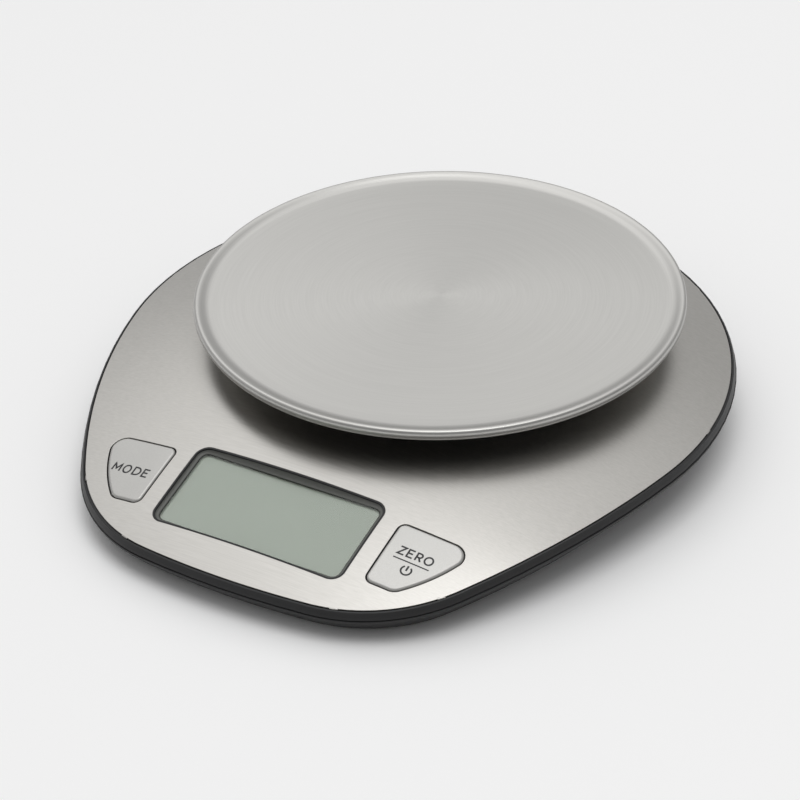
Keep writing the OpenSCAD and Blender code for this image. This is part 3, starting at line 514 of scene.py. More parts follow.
# Shell and tray: the rim round the cover and the tray below it are moulded in black ABS
# with a fine satin skin, and meet in a narrow seam. Their edges are barely rounded.
def smooth_copy(name, piece_name, finish, corner=35, rides=True):
    """The CAD piece again, with its curved walls shaded smooth."""
    merged = bmesh.new()
    merged.from_mesh(nodes[name].data)
    bmesh.ops.remove_doubles(merged, verts=merged.verts, dist=0.002 * MM)
    merged.verts.index_update()
    mesh = bpy.data.meshes.new(piece_name)
    mesh.from_pydata([v.co for v in merged.verts], [],
                     [[v.index for v in f.verts] for f in merged.faces])
    merged.free()
    mesh.shade_smooth()
    mesh.set_sharp_from_angle(angle=math.radians(corner))
    mesh.materials.append(finish)
    obj = in_scene(piece_name, mesh)
    if rides:
        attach(obj, nodes[name]["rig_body"])
    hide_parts(name)
    return obj


def grained(name, dark, light, scale, rough_span, lift, edge=0.0, **shader):
    """Finish whose colour, gloss and surface vary with a fine grain and a broad drift."""
    material, tree, own = new_finish(name)
    grain = add_node(tree, "ShaderNodeTexNoise", {"Vector": own, "Scale": scale, "Detail": 2.0})
    drift = add_node(tree, "ShaderNodeTexNoise", {"Vector": own, "Scale": 30.0, "Detail": 2.0})
    both = add_node(tree, "ShaderNodeMath", {0: grain.outputs["Fac"], 1: drift.outputs["Fac"]},
                    operation="MULTIPLY")
    amount = add_node(tree, "ShaderNodeMapRange", {"Value": both.outputs["Value"],
                                                   "From Min": 0.1, "From Max": 0.45})
    soft = None
    if edge:
        bevel = add_node(tree, "ShaderNodeBevel", {"Radius": edge * MM}, samples=4)
        soft = bevel.outputs["Normal"]
    links = {key.replace("_", " "): value for key, value in shader.items()}
    patterned(tree, amount.outputs["Result"], dark, light, rough_span, lift, 0.02,
              gloss=drift.outputs["Fac"], relief=grain.outputs["Fac"], under=soft, **links)
    return material


satin_abs = grained("satin_moulded_black_abs", "#161617", "#1E1E1F", 2600.0, (0.36, 0.46), 0.15,
                    edge=0.15, IOR=1.52, Specular_IOR_Level=0.35)
for node, name in (("upper_housing", "upper_shell"), ("lower_housing", "lower_tray"),
                   ("battery_door", "battery_lid")):
    smooth_copy(node, name, satin_abs)


# Window frame: moulded in grey ABS with a lip of the shell's black ABS. The lip draws a dark
# line inside the cover's edge, which is partly its own black and partly painted shade: it
# stands for the shadowed gap between the cover and the frame. Under the lip a cove curves in
# to the pane. The shell holds both.
grey_abs = grained("satin_moulded_grey_abs", "#626360", "#6C6D69", 2600.0, (0.4, 0.5), 0.15,
                   edge=0.3, IOR=1.52)
LIP_LOW, PANE_TOP = 0.56, 2.85
# Each corner is an inset from the window's edge with a depth under the dome, or with the
# share of the way from the lip down to the flat pane.
LIP_SECTION = ((0.03, 0.04), (0.03, LIP_LOW), (0.72, LIP_LOW), (0.72, 0.2), (0.58, 0.04))
COVE_SECTION = ((-0.2, 0.0), (-0.2, 1.0), (2.0, 1.0), (1.5, 0.9), (1.12, 0.7), (0.86, 0.4),
                (0.72, 0.0))


def above_pane(x, y, share):
    """Place between the lip's underside, which follows the dome, and the flat pane."""
    return on_panel(x, y, LIP_LOW).lerp(panel @ Vector((x, y, -PANE_TOP)), share)


mouth = with_outward(window_line)
for name, section, place, finish, slot in (
        ("window_lip", LIP_SECTION, on_panel, satin_abs, "shell_plastic"),
        ("window_cove", COVE_SECTION, above_pane, grey_abs, "frame_plastic")):
    ring = Shell()
    loops = [[ring.point(place(*(p - w * inset), low)) for p, w in mouth]
             for inset, low in section]
    for high, low in zip(loops, loops[1:] + loops[:1]):
        ring.strip(high, low)
    piece = ring.piece(name, finish)
    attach(piece, "housing")


# Platter support: the carrier on the load cell and the disc under the platter are moulded
# in the same black, left matt because only the gap under the platter shows them.
matt_abs = grained("matt_moulded_black_abs", "#1A1A1B", "#232324", 2200.0, (0.5, 0.62), 0.2,
                   edge=0.2, IOR=1.52)
for node, name in (("platter_support", "platter_carrier"), ("platter_hub", "platter_underdisc")):
    smooth_copy(node, name, matt_abs)


# Platter: a 0.8 mm stainless disc, spun and turned on a lathe, so its fine rings fan the
# light out from the middle. A hollow curve rises to the crest, and the edge is rolled
# over outward and down, with a groove above its lip.
PLATTER_R, PLATTER_SHEET = 80.0, 0.8
FLAT_Z = 36.2
RIM_TOP = ((5.8, 0.0), (5.2, 0.02), (4.6, 0.09), (4.0, 0.23), (3.4, 0.44), (2.9, 0.66),
           (2.45, 0.87), (2.0, 1.04), (1.6, 1.15), (1.25, 1.2), (0.9, 1.17), (0.6, 1.05),
           (0.35, 0.82), (0.17, 0.5), (0.06, 0.15), (0.0, -0.3), (0.03, -0.8), (0.12, -1.2),
           (0.28, -1.38), (0.44, -1.45), (0.48, -1.55), (0.42, -1.68), (0.46, -1.85),
           (0.62, -2.02), (0.9, -2.14), (1.25, -2.2), (1.6, -2.15), (1.9, -2.0))
RIM_UNDER = ((1.85, -1.5), (1.4, -1.42), (1.05, -1.1), (0.86, -0.6), (0.84, -0.1),
             (1.0, 0.25), (1.4, 0.38), (2.0, 0.24), (2.6, -0.02), (3.2, -0.3), (4.0, -0.55),
             (5.0, -0.74), (5.8, -0.8))
FLAT_RINGS, PLATTER_SIDES = (0.0, 4.0, 20.0, 45.0, 70.0), 288


def turned(shell, profile, sides, place=Matrix.Identity(4), crease=40):
    """Adds a solid of revolution. The profile runs from the top's middle to the bottom's."""
    count = len(profile)
    ways = []
    for k, (r, z) in enumerate(profile):
        r0, z0 = profile[k - 1] if k else (-profile[1][0], profile[1][1])
        r1, z1 = profile[k + 1] if k + 1 < count else (-profile[-2][0], profile[-2][1])
        before = Vector((z0 - z, r - r0)).normalized()
        after = Vector((z - z1, r1 - r)).normalized()
        same = before.angle(after) < math.radians(crease)
        mean = (before + after).normalized()
        ways.append((mean, mean) if same else (before, after))

    def out(r, z, i):
        t = 2 * math.pi * i / sides
        return Vector((r * math.cos(t), r * math.sin(t), z))

    def up(way, i):
        return place.to_3x3() @ out(*way, i)

    rings = [[shell.point(place @ out(r, z, i)) for i in range(sides if r > 1e-6 else 1)]
             for r, z in profile]
    for k in range(count - 1):
        high, low = rings[k], rings[k + 1]
        a, b = ways[k][1], ways[k + 1][0]
        for i in range(sides):
            j = (i + 1) % sides
            if len(high) == 1:
                shell.face((high[0], low[i], low[j]), [up(b, i), up(b, i), up(b, j)])
            elif len(low) == 1:
                shell.face((high[i], low[0], high[j]), [up(a, i), up(a, i), up(a, j)])
            else:
                shell.face((high[i], low[i], low[j], high[j]),
                           [up(a, i), up(b, i), up(b, j), up(a, j)])


turned_stainless, tree, own = new_finish("turned_satin_stainless_steel")
middle = add_node(tree, "ShaderNodeVectorMath", {0: own, 1: (0, PLATTER_Y * MM, 0)},
                  operation="SUBTRACT")
flat = add_node(tree, "ShaderNodeVectorMath", {0: middle.outputs[0], 1: (1, 1, 0)},
                operation="MULTIPLY")
along = add_node(tree, "ShaderNodeVectorMath", {0: (0, 0, 1), 1: flat.outputs[0]},
                 operation="CROSS_PRODUCT")
round_way = add_node(tree, "ShaderNodeVectorMath", {0: along.outputs[0]}, operation="NORMALIZE")
radius = add_node(tree, "ShaderNodeVectorMath", {0: flat.outputs[0]}, operation="LENGTH")
# Lathe marks are 0.1 mm apart; drawn 0.4 mm apart so that they show, and broken into arcs.
spokes = add_node(tree, "ShaderNodeVectorMath", {0: flat.outputs[0]}, operation="NORMALIZE")
arcs = add_node(tree, "ShaderNodeVectorMath", {0: spokes.outputs[0], 1: (2.5, 2.5, 0)},
                operation="MULTIPLY")
rings = add_node(tree, "ShaderNodeMath", {0: radius.outputs["Value"], 1: 2500.0},
                 operation="MULTIPLY")
parted = add_node(tree, "ShaderNodeSeparateXYZ", {"Vector": arcs.outputs[0]})
placed = add_node(tree, "ShaderNodeCombineXYZ", {
    "X": parted.outputs["X"], "Y": parted.outputs["Y"], "Z": rings.outputs["Value"]})
marks = add_node(tree, "ShaderNodeTexNoise", {
    "Vector": placed.outputs["Vector"], "Scale": 1.0, "Detail": 2.0})
patterned(tree, marks.outputs["Fac"], "#B5B4B1", "#C2C1BE", (0.32, 0.4), 0.05, 0.04,
          Metallic=1.0, Anisotropic=0.45, Tangent=round_way.outputs[0])

profile = [(r, FLAT_Z) for r in FLAT_RINGS]
profile += [(PLATTER_R - t, FLAT_Z + z) for t, z in RIM_TOP + RIM_UNDER]
profile += [(r, FLAT_Z - PLATTER_SHEET) for r in FLAT_RINGS[::-1]]
disc = Shell()
turned(disc, profile, PLATTER_SIDES, Matrix.Translation((0, PLATTER_Y, 0)), crease=75)
platter = disc.piece("steel_platter", turned_stainless)
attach(platter, "platter")
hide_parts("weighing_platter")


# Keys: caps moulded in ABS and sprayed satin silver, with softly rounded edges. Each has a
# flange that holds it under the shell and a post that presses the switch.
KEY_PROUD, KEY_ROUND = 0.4, 0.9
FLANGE_TOP, FLANGE_T, FLANGE_OUT = 2.65, 0.8, 1.35
KEY_WALL, CAP_STEP = 1.5, 2.0
POST_R, POST_LOW, POST_SIDES = 1.6, -7.65, 24
# Silver paint: fine flakes under a satin lacquer, paler and duller than the steel.
silver_paint = grained("satin_silver_paint_on_abs", "#B4B3B0", "#C5C4C1", 4200.0,
                       (0.38, 0.5), 0.06, Metallic=0.75)


def key_cap(side, name):
    """Hollow key. Each ring is given by its inset, its depth below the dome and its slope."""
    cap = Shell()
    line = with_outward(key_line(side))
    top = -KEY_PROUD
    bends = [math.pi / 2 * k / 5 for k in range(6)]
    rows = [(KEY_ROUND * (1 - math.sin(a)), top + KEY_ROUND * (1 - math.cos(a)), a, a)
            for a in bends]
    side_on, down, back = math.pi / 2, math.pi, -math.pi / 2
    rows += [(0.0, FLANGE_TOP, side_on, 0.0), (-FLANGE_OUT, FLANGE_TOP, 0.0, side_on),
             (-FLANGE_OUT, FLANGE_TOP + FLANGE_T, side_on, down),
             (KEY_WALL, FLANGE_TOP + FLANGE_T, down, back),
             (KEY_WALL, top + KEY_WALL, back, down)]

    flat_way = panel.to_3x3()

    def looks(p, w, a):
        up = Vector((*p, DOME_R)).normalized()
        return flat_way @ (up * math.cos(a) + w.to_3d() * math.sin(a)).normalized()

    rings = []
    for inset, depth, a, b in rows:
        spots = [(p - w * inset, w) for p, w in line]
        rings.append(([cap.point(on_panel(*p, depth)) for p, _ in spots],
                      [looks(p, w, a) for p, w in spots], [looks(p, w, b) for p, w in spots]))
    for (high, _, high_ways), (low, low_ways, _) in zip(rings, rings[1:]):
        cap.strip(low, high, low_ways, high_ways)
    for inset, depth, sign in ((KEY_ROUND, top, 1), (KEY_WALL, top + KEY_WALL, -1)):
        spots, triangles, _ = fill([p - w * inset for p, w in line], [], CAP_STEP)
        numbers = [cap.point(on_panel(*p, depth)) for p in spots]
        ups = [flat_way @ Vector((*p, DOME_R)).normalized() * sign for p in spots]
        for t in triangles:
            t = t[::sign]
            cap.face([numbers[k] for k in t], [ups[k] for k in t])
    middle_x = side * (KEY_IN + KEY_ARC_C.x + math.sqrt(KEY_ARC_R ** 2 - KEY_ARC_C.y ** 2)) / 2
    roof = math.sqrt(DOME_R ** 2 - middle_x ** 2) - DOME_R - top - KEY_WALL
    turned(cap, [(0, roof + 0.4), (POST_R, roof + 0.4), (POST_R, POST_LOW + 0.2),
                 (POST_R - 0.2, POST_LOW), (0, POST_LOW)], POST_SIDES,
           panel @ Matrix.Translation((middle_x, 0, 0)))
    return cap.piece(name, silver_paint)


for side, word in ((-1, "mode"), (1, "zero")):
    cap = key_cap(side, word + "_key_cap")
    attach(cap, word + "_key")
    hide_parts(word + "_button")


# Lettering: pad-printed in dark grey ink, a thin even line with round bends. MODE stands on
# the left key, and ZERO over a line and the on-off sign on the right one.
INK_H, INK_SUNK = 0.02, 0.03
INK_W, RULE_W, BAR_W = 0.56, 0.42, 0.6
pad_ink = grained("dark_grey_pad_ink", "#1A1A1C", "#28282A", 3000.0, (0.5, 0.6), 0.1)


def bow(x, y, rx, ry, start, end, count=20):
    """Part of an oval, from one angle to another in degrees."""
    return [(x + rx * math.cos(t), y + ry * math.sin(t))
            for t in np.radians(np.linspace(start, end, count))]


def inked_line(shell, line, width):
    """Adds a raised ribbon along a line on a key. A line that ends where it starts closes."""
    line = [Vector(p) for p in line]
    closed = (line[0] - line[-1]).length < 1e-4
    line = [p.lerp(q, k / 4) for p, q in zip(line, line[1:]) for k in range(4)] + line[-1:]
    if closed:
        line = line[:-1]
    rows = []
    for i, p in enumerate(line):
        a = line[i - 1] if closed or i else p - (line[1] - p)
        b = line[(i + 1) % len(line)] if closed or i + 1 < len(line) else p + (p - line[-2])
        one, two = (p - a).normalized(), (b - p).normalized()
        mean = (one + two).normalized()
        across = Vector((-mean.y, mean.x)) / max(mean.dot(one), 0.5) * width / 2
        ends = [(p - across, INK_H), (p + across, INK_H), (p + across, -INK_SUNK),
                (p - across, -INK_SUNK)]
        rows.append([shell.point(on_panel(*q, h - KEY_PROUD)) for q, h in ends])
    for a, b in zip(rows, rows[1:] + (rows[:1] if closed else [])):
        shell.strip(a, b)
    if not closed:
        shell.face(rows[0][::-1])
        shell.face(rows[-1])


O_RX = 1.28
mode_lines = [[(-56.75, -2.0), (-56.65, 0.9), (-55.4, -1.15), (-54.15, 0.9), (-54.05, -2.0)],
              bow(-51.55, -0.55, O_RX, 1.5, 90, 450, 33),
              [(-48.95, -2.0), (-48.95, 0.9), (-48.3, 0.9),
               *bow(-48.1, -0.55, 1.55, 1.45, 88, -88), (-48.3, -2.0), (-48.95, -2.0)],
              [(-43.55, 0.9), (-45.4, 0.9), (-45.4, -2.0), (-43.5, -2.0)],
              [(-45.4, -0.5), (-43.8, -0.5)]]
zero_lines = [[(44.5, 3.75), (46.45, 3.75), (44.45, 1.05), (46.5, 1.05)],
              [(49.25, 3.75), (47.45, 3.75), (47.45, 1.05), (49.3, 1.05)],
              [(47.45, 2.45), (49.0, 2.45)],
              [(50.3, 0.9), (50.3, 3.75), (51.1, 3.75), *bow(51.2, 3.0, 0.75, 0.75, 85, -85),
               (51.1, 2.25), (50.3, 2.25)],
              [(51.1, 2.25), (52.05, 0.9)],
              bow(54.35, 2.38, O_RX, 1.4, 90, 450, 33),
              bow(49.95, -3.6, 1.6, 1.6, 128, 412, 40)]
for word, lines in (("mode", mode_lines), ("zero", zero_lines)):
    print_shell = Shell()
    for line in lines:
        inked_line(print_shell, line, INK_W)
    if word == "zero":
        inked_line(print_shell, [(44.05, -0.62), (55.85, -0.62)], RULE_W)
        inked_line(print_shell, [(49.95, -1.85), (49.95, -3.75)], BAR_W)
    lettering = print_shell.piece(word + "_lettering", pad_ink)
    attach(lettering, word + "_key")


# Display: a clear acrylic pane is bonded behind the window, over a liquid crystal cell with
# a grey-green reflector. The display is off, so no digit shows.
def dress(name, finish):
    """Gives a CAD node its finish."""
    for slot in nodes[name].material_slots:
        slot.material = finish


# Liquid crystal cell at rest: a faint grey-green, a little uneven, under a polarising film.
lcd_at_rest = grained("grey_green_liquid_crystal", "#9DA598", "#A0A89B", 60.0, (0.2, 0.22), 0.0,
                      IOR=1.5)
dress("display_glass", lcd_at_rest)

# Cast acrylic, clear enough that only the reflection of the walls shows.
clear_acrylic, tree, own = new_finish("clear_acrylic_pane")
wave = add_node(tree, "ShaderNodeTexNoise", {"Vector": own, "Scale": 60.0, "Detail": 1.0})
lift = add_node(tree, "ShaderNodeBump", {"Height": wave.outputs["Fac"], "Strength": 0.02,
                                         "Distance": 0.0001})
facing = add_node(tree, "ShaderNodeLayerWeight", {"Blend": 0.25, "Normal": lift.outputs["Normal"]})
veil = add_node(tree, "ShaderNodeMapRange", {"Value": facing.outputs["Facing"], "To Min": 0.02,
                                             "To Max": 0.22})
through = add_node(tree, "ShaderNodeBsdfTransparent", {"Color": (0.97, 0.98, 0.975, 1)})
shine = add_node(tree, "ShaderNodeBsdfAnisotropic", {"Roughness": 0.04,
                                                     "Normal": lift.outputs["Normal"]})
pane = add_node(tree, "ShaderNodeMixShader", {"Fac": veil.outputs["Result"],
                                              1: through.outputs["BSDF"],
                                              2: shine.outputs["BSDF"]})
add_node(tree, "ShaderNodeOutputMaterial", {"Surface": pane.outputs["Shader"]})
dress("display_pane", clear_acrylic)
dress("display_frame", matt_abs)

# Contact strip: silicone rubber with fine black and pink layers across its length. Real
# layers are 0.1 mm thick; these are 0.25 mm, so that they show.
striped_silicone, tree, own = new_finish("layered_contact_silicone")
layers = add_node(tree, "ShaderNodeTexWave", {"Vector": own, "Scale": 630.0, "Distortion": 0.2},
                  bands_direction="X")
tone = add_node(tree, "ShaderNodeMix", {"Factor": layers.outputs["Fac"], 6: rgba("#2A2424"),
                                        7: rgba("#C48A86")}, data_type="RGBA")
solid = add_node(tree, "ShaderNodeBsdfPrincipled", {"Base Color": tone.outputs[2],
                                                    "Roughness": 0.6, "IOR": 1.41})
add_node(tree, "ShaderNodeOutputMaterial", {"Surface": solid.outputs["BSDF"]})
dress("contact_strip", striped_silicone)


# Circuit board: glass fibre under a green solder mask, through which the copper tracks show
# a little lighter. It carries a chip under a drop of resin and the two push switches.
green_board, tree, own = new_finish("green_solder_mask_on_glass_fibre")
tracks = add_node(tree, "ShaderNodeTexBrick", {
    "Vector": own, "Scale": 1000.0, "Mortar Size": 0.45, "Mortar Smooth": 0.1, "Bias": 0.2,
    "Brick Width": 7.0, "Row Height": 2.1, "Color1": rgba("#123F22"), "Color2": rgba("#164A28"),
    "Mortar": rgba("#2E7A45")})
weave = add_node(tree, "ShaderNodeTexNoise", {"Vector": own, "Scale": 1800.0, "Detail": 1.0})
lift = add_node(tree, "ShaderNodeBump", {"Height": weave.outputs["Fac"], "Strength": 0.08,
                                         "Distance": 0.02 * MM})
mask = add_node(tree, "ShaderNodeBsdfPrincipled", {"Base Color": tracks.outputs["Color"],
                                                   "Roughness": 0.32, "IOR": 1.55,
                                                   "Normal": lift.outputs["Normal"]})
add_node(tree, "ShaderNodeOutputMaterial", {"Surface": mask.outputs["BSDF"]})
dress("main_board", green_board)
# Potting resin sets with a smooth, wet-looking skin; tin dulls a sheet to an even pale grey;
# acetal leaves the mould with a low waxy sheen.
dress("board_chip", grained("black_potting_resin", "#101011", "#1A1A1B", 700.0, (0.2, 0.3),
                            0.05, IOR=1.56))
tinned_steel = grained("tinned_sheet_steel", "#A9AAAA", "#BEBFBF", 1500.0, (0.3, 0.42), 0.08,
                       Metallic=1.0)
dress("tact_switches", tinned_steel)
dress("support_spacer", tinned_steel)
black_acetal = grained("black_acetal", "#171718", "#1E1E1F", 2000.0, (0.35, 0.45), 0.08,
                       IOR=1.48)
for name in ("mode_switch_pin", "zero_switch_pin"):
    dress(name, black_acetal)


# Load cell: a sawn and milled aluminium bar with two joined bores. Its strain gauges lie
# under white silicone, and a four-core lead joins it to the board.
milled_aluminium, tree, own = new_finish("milled_aluminium_bar")
# The cutter's rows run across the bar. They are drawn 1 mm apart, and real ones are finer.
rows = add_node(tree, "ShaderNodeTexWave", {"Vector": own, "Scale": 320.0, "Distortion": 1.5,
                                            "Detail": 2.0}, bands_direction="X")
patterned(tree, rows.outputs["Fac"], "#B7B9BC", "#CDCFD1", (0.28, 0.42), 0.1, 0.02, Metallic=1.0)
# One end is screwed to the tray and the other carries the platter, and in the real cell the
# thin webs round the joined bores bend between them. Here the bar stays where it stands, on
# no body, and does not bend.
bar = smooth_copy("load_cell", "load_cell_bar", milled_aluminium, rides=False)
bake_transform(bar)
# Silicone dries milky and matt with a lumpy skin, and PVC sheath has a dull even shine.
dress("gauge_coating", grained("white_silicone_sealant", "#E2E0DA", "#F0EEE9", 300.0,
                               (0.4, 0.55), 0.3, IOR=1.41))
for name, dark, light in (("cell_lead", "#B9B9B5", "#C9C9C5"),
                          ("battery_lead_red", "#9A1B16", "#B3231D"),
                          ("battery_lead_black", "#161616", "#202020")):
    dress(name, grained("pvc_sheath_of_" + name, dark, light, 1200.0, (0.38, 0.48), 0.1,
                        IOR=1.53))


# Fasteners: pan-head screws of zinc-plated steel with a cross recess. Six join the tray to
# the shell, three hold the board, and two at each end hold the load cell.
def geometry_tree(name, sizes):
    """Empty tree that takes places and named sizes and gives a piece."""
    tree = bpy.data.node_groups.new(name, "GeometryNodeTree")
    for label, kind in (("Places", "NodeSocketGeometry"), *sizes,
                        ("Finish", "NodeSocketMaterial")):
        tree.interface.new_socket(name=label, in_out="INPUT", socket_type=kind)
    tree.interface.new_socket(name="Piece", in_out="OUTPUT", socket_type="NodeSocketGeometry")
    return tree, add_node(tree, "NodeGroupInput").outputs


def set_at_places(tree, given, master):
    """Ends a tree: a copy of the master at each place, turned as the place says."""
    turns = add_node(tree, "GeometryNodeInputNamedAttribute", {"Name": "turn"},
                     data_type="FLOAT_VECTOR")
    facing = add_node(tree, "FunctionNodeEulerToRotation", {"Euler": turns.outputs["Attribute"]})
    copies = add_node(tree, "GeometryNodeInstanceOnPoints", {
        "Points": given["Places"], "Instance": master, "Rotation": facing.outputs["Rotation"]})
    real = add_node(tree, "GeometryNodeRealizeInstances",
                    {"Geometry": copies.outputs["Instances"]})
    coated = add_node(tree, "GeometryNodeSetMaterial",
                      {"Geometry": real.outputs["Geometry"], "Material": given["Finish"]})
    add_node(tree, "NodeGroupOutput", {"Piece": coated.outputs["Geometry"]})


def grown(name, tree, places, **sizes):
    """Runs a tree at places, each a point in mm and a turn, and keeps its plain mesh."""
    points = bpy.data.meshes.new(name + "_places")
    points.from_pydata([Vector(p) * MM for p, _ in places], [], [])
    turns = points.attributes.new("turn", "FLOAT_VECTOR", "POINT")
    for item, (_, turn) in zip(turns.data, places):
        item.vector = turn
    obj = in_scene(name, points)
    growth = obj.modifiers.new("growth", "NODES")
    growth.node_group = tree
    for item in tree.interface.items_tree:
        if item.in_out == "INPUT" and item.name in sizes:
            growth[item.identifier] = sizes[item.name]
    view = bpy.context.evaluated_depsgraph_get()
    mesh = bpy.data.meshes.new_from_object(obj.evaluated_get(view))
    obj.modifiers.remove(growth)
    mesh.name = name
    obj.data = mesh
    return obj


copies_tree, given = geometry_tree("copies_at_places", (("Master", "NodeSocketObject"),))
shown = add_node(copies_tree, "GeometryNodeObjectInfo", {"Object": given["Master"]},
                 transform_space="ORIGINAL")
set_at_places(copies_tree, given, shown.outputs["Geometry"])


def copies(name, master, places, finish):
    """One piece that holds a copy of the master at each place."""
    obj = grown(name, copies_tree, places, Master=master, Finish=finish)
    bpy.data.objects.remove(master)
    return obj


def screw_master(r, head, tall, length, finish, pitch=0.9, sides=20):
    """Screw that points down from the underside of its head, with a real thread."""
    screw = Shell()
    arm, slot = head * 0.6, head * 0.13
    cross = [Vector(p) for p in ((arm, -slot), (arm, slot), (slot, slot), (slot, arm),
                                 (-slot, arm), (-slot, slot), (-arm, slot), (-arm, -slot),
                                 (-slot, -slot), (-slot, -arm), (slot, -arm), (slot, -slot))]
    rim = circle_line(0, 0, head * 0.78, sides)
    spots, triangles, loops = fill(rim, [cross], head)
    dome = [screw.point((p.x, p.y, tall - 0.12 * tall * (p.length / head) ** 2)) for p in spots]
    for t in triangles:
        screw.face([dome[k] for k in t])
    mouth = [dome[k] for k in loops[1]]
    foot = [screw.point((p.x * 0.8, p.y * 0.8, tall * 0.45)) for p in cross]
    screw.strip(mouth, foot)
    screw.face(foot)
    rings = [[dome[k] for k in loops[0]]]
    section = [(head * 0.93, tall * 0.76), (head, tall * 0.45), (head, 0.0), (r, 0.0)]
    steps = round(length / pitch * 4)
    section += [(None, -length * k / steps) for k in range(steps + 1)]
    for radius, z in section:
        ring = []
        for i in range(sides):
            t = 2 * math.pi * i / sides
            wave = abs((z / pitch + i / sides) % 1 * 2 - 1)
            here = r * (0.76 + 0.24 * wave) if radius is None else radius
            ring.append(screw.point((here * math.cos(t), here * math.sin(t), z)))
        rings.append(ring)
    for high, low in zip(rings, rings[1:]):
        screw.strip(low, high)
    screw.face(rings[-1][::-1])
    return screw.piece("screw_master", finish)


def on_both_sides(spots, z, facing):
    """Places on the right and the left, from a direction of the edge and an inset each."""
    found = [edge_point(math.radians(turn), inset)[0] for turn, inset in spots]
    return [((side * p.x, p.y, z), facing) for p in found for side in (1, -1)]


# Zinc plate is bright, with a faint bluish bloom.
zinc_plate = grained("zinc_plated_steel", "#A9ABAD", "#BFC1C3", 1600.0, (0.24, 0.36), 0.06,
                     Metallic=1.0)
UP, DOWN = (math.pi, 0, 0), (0, 0, 0)
ON_BOARD = (math.pi + tilt, 0, 0)
HOUSING_SCREWS = ((-26, 20.5), (5.4, 19.7), (56.5, 16.7))
BOARD_SCREWS = ((44, 18.5), (-44, 18.5), (0, 23))
SCREW_SEAT, BOARD_LOW = 5.5, -11.8
CELL_SCREW_X, CELL_SEAT, SUPPORT_SEAT = (22.5, 31.5), 4.9, 25.0
# Each set: its name, node and body, the radii of shaft and head, the head's height, the
# shaft's length, and the places.
screw_sets = (
    ("housing_screw_set", "housing_screws", "housing", (1.3, 2.6, 1.8, 8.5),
     on_both_sides(HOUSING_SCREWS, SCREW_SEAT, UP)),
    ("board_screw_set", "board_screws", "housing", (1.3, 2.6, 1.4, 6.0),
     [(panel @ Vector((x, y, BOARD_LOW)), ON_BOARD) for x, y in BOARD_SCREWS]),
    ("cell_screw_set", "cell_screws", "housing", (2.0, 3.5, 2.2, 10.0),
     [((-x, PLATTER_Y, CELL_SEAT), UP) for x in CELL_SCREW_X]),
    ("support_screw_set", "support_screws", "weigh_frame", (2.0, 3.5, 2.2, 12.2),
     [((x, PLATTER_Y, SUPPORT_SEAT), DOWN) for x in CELL_SCREW_X]))
for name, stands_for, body, form, places in screw_sets:
    screws = copies(name, screw_master(*form, zinc_plate), places, zinc_plate)
    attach(screws, body)
    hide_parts(stands_for)


# Feet: four soft black rubber discs pressed into pockets of the tray, with rings underneath
# that grip the worktop.
FOOT_R, FOOT_TOP, FOOT_SIDES = 6.0, 2.3, 40
GROOVE, GROOVES_AT = 0.25, (4.9, 3.4, 1.9)
FEET = ((-50, 16), (43.7, 19.7))
foot_section = [(0, FOOT_TOP), (FOOT_R - 0.1, FOOT_TOP), (FOOT_R, FOOT_TOP - 0.1), (FOOT_R, 0.6),
                (FOOT_R - 0.15, 0.25), (FOOT_R - 0.5, 0.05), (5.2, 0)]
for r in GROOVES_AT:
    foot_section += [(r, 0), (r - 0.1, GROOVE), (r - 0.4, GROOVE), (r - 0.5, 0)]
foot_section.append((0, 0))
foot = Shell()
turned(foot, foot_section, FOOT_SIDES)
# Soft rubber scatters the light, so that it looks flat black.
soft_rubber = grained("soft_black_rubber", "#1D1D1D", "#262626", 1500.0, (0.62, 0.75), 0.3,
                      IOR=1.52)
feet = copies("foot_pads", foot.piece("foot_master", soft_rubber),
              on_both_sides(FEET, 0, DOWN), soft_rubber)
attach(feet, "housing")
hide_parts("rubber_feet")


# Battery bay: two AAA cells lie side by side, turned end for end. A conical spring presses
# each one against a nickel-plated plate.
BAY_Y, CELL_AXIS_Z, CELL_APART = -22.0, 9.25, 5.65
CELL_R, CELL_L, NUB_L, NUB_R = 5.25, 44.5, 0.8, 1.9
CELL_BASE_X = 19.6
SPRING_X, SPRING_WIRE_R, CELL_SIDES = 24.9, 0.3, 48
# Nickel stays bright and is a little yellower than zinc.
nickel = grained("nickel_plated_spring_steel", "#AFAEA8", "#C4C3BD", 1500.0, (0.2, 0.32), 0.05,
                 Metallic=1.0)
dress("battery_contacts", nickel)

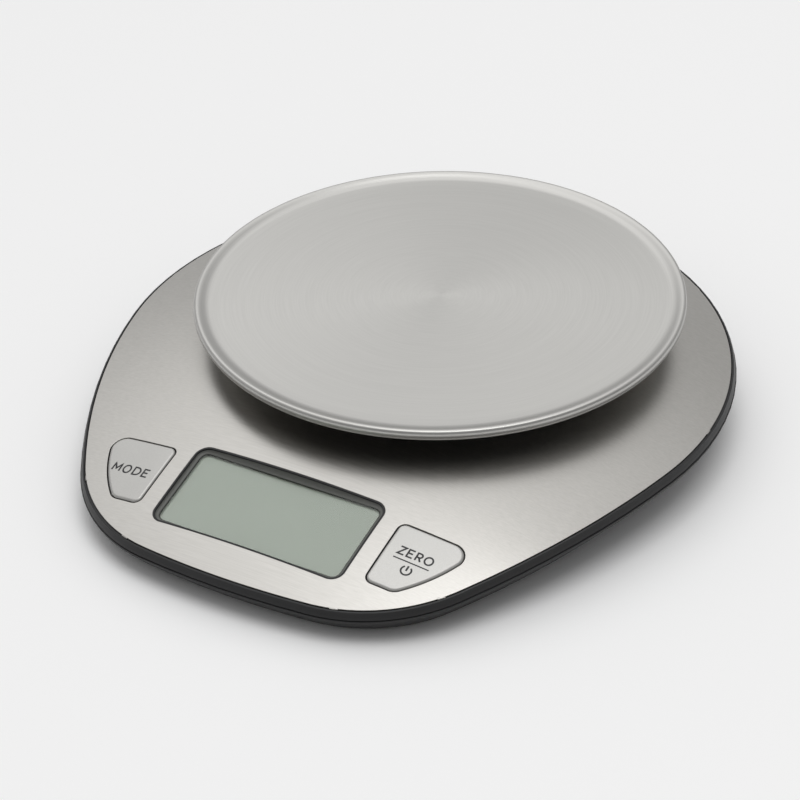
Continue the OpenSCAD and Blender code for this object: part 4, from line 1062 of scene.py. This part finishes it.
springs_tree, given = geometry_tree("conical_springs", [
    (label, "NodeSocketFloat")
    for label in ("Turns", "Low radius", "High radius", "Height", "Wire radius")])
wound = add_node(springs_tree, "GeometryNodeCurveSpiral", {
    "Resolution": 20, "Rotations": given["Turns"], "Start Radius": given["Low radius"],
    "End Radius": given["High radius"], "Height": given["Height"]})
section = add_node(springs_tree, "GeometryNodeCurvePrimitiveCircle", {
    "Resolution": 10, "Radius": given["Wire radius"]})
wire = add_node(springs_tree, "GeometryNodeCurveToMesh", {
    "Curve": wound.outputs["Curve"], "Profile Curve": section.outputs["Curve"], "Fill Caps": True})
set_at_places(springs_tree, given, wire.outputs["Mesh"])
sizes = {"Turns": 4.0, "Low radius": 3.4 * MM, "High radius": 1.7 * MM, "Height": 4.7 * MM,
         "Wire radius": SPRING_WIRE_R * MM, "Finish": nickel}
springs = grown("bay_springs", springs_tree,
                [((-side * SPRING_X, BAY_Y + side * CELL_APART, CELL_AXIS_Z),
                  (0, side * math.pi / 2, 0)) for side in (1, -1)], **sizes)
springs.data.shade_smooth()
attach(springs, "housing")
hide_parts("battery_springs")

# Cells: a drawn steel can in a plain ochre film, which shrinks over both shoulders. The film
# is glossy, and the can has a greyer shine.
ochre_film = grained("shrunk_ochre_film", "#9C7420", "#B2862B", 500.0, (0.22, 0.32), 0.05,
                     IOR=1.5)
can_steel = grained("drawn_can_steel", "#A6A6A4", "#BAB9B6", 1400.0, (0.25, 0.38), 0.05,
                    Metallic=1.0)
cells = Shell()
can_top = CELL_L - NUB_L
# The film's shoulder, inward from its side and inward from its end.
SHOULDER = ((1.2, 0.02), (0.5, 0.1), (0.12, 0.35), (0.0, 0.8))
film = [(CELL_R - a, can_top - z) for a, z in SHOULDER]
film += [(CELL_R - a, z) for a, z in SHOULDER[::-1]]
film += [(CELL_R - 1.2, 0.5), (CELL_R - 1.2, can_top - 0.5)]
can = [(0, CELL_L), (NUB_R - 0.3, CELL_L), (NUB_R, CELL_L - 0.2), (NUB_R, can_top - 0.1),
       (CELL_R - 0.6, can_top - 0.2), (CELL_R - 0.4, can_top - 0.6), (CELL_R - 0.4, 0.6),
       (CELL_R - 0.8, 0.15), (CELL_R - 1.8, 0.1), (CELL_R - 2.2, 0.0), (0, 0.0)]
lays = [Matrix.Translation((-side * CELL_BASE_X, BAY_Y + side * CELL_APART, CELL_AXIS_Z))
        @ Matrix.Rotation(side * math.pi / 2, 4, "Y") for side in (1, -1)]
for lay in lays:
    turned(cells, film + film[:1], CELL_SIDES, lay)
film_faces = len(cells.faces)
for lay in lays:
    turned(cells, can, CELL_SIDES, lay)
cell_pair = cells.piece("aaa_cell_pair", ochre_film)
cell_pair.data.materials.append(can_steel)
for face in list(cell_pair.data.polygons)[film_faces:]:
    face.material_index = 1
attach(cell_pair, "housing")
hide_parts("batteries")
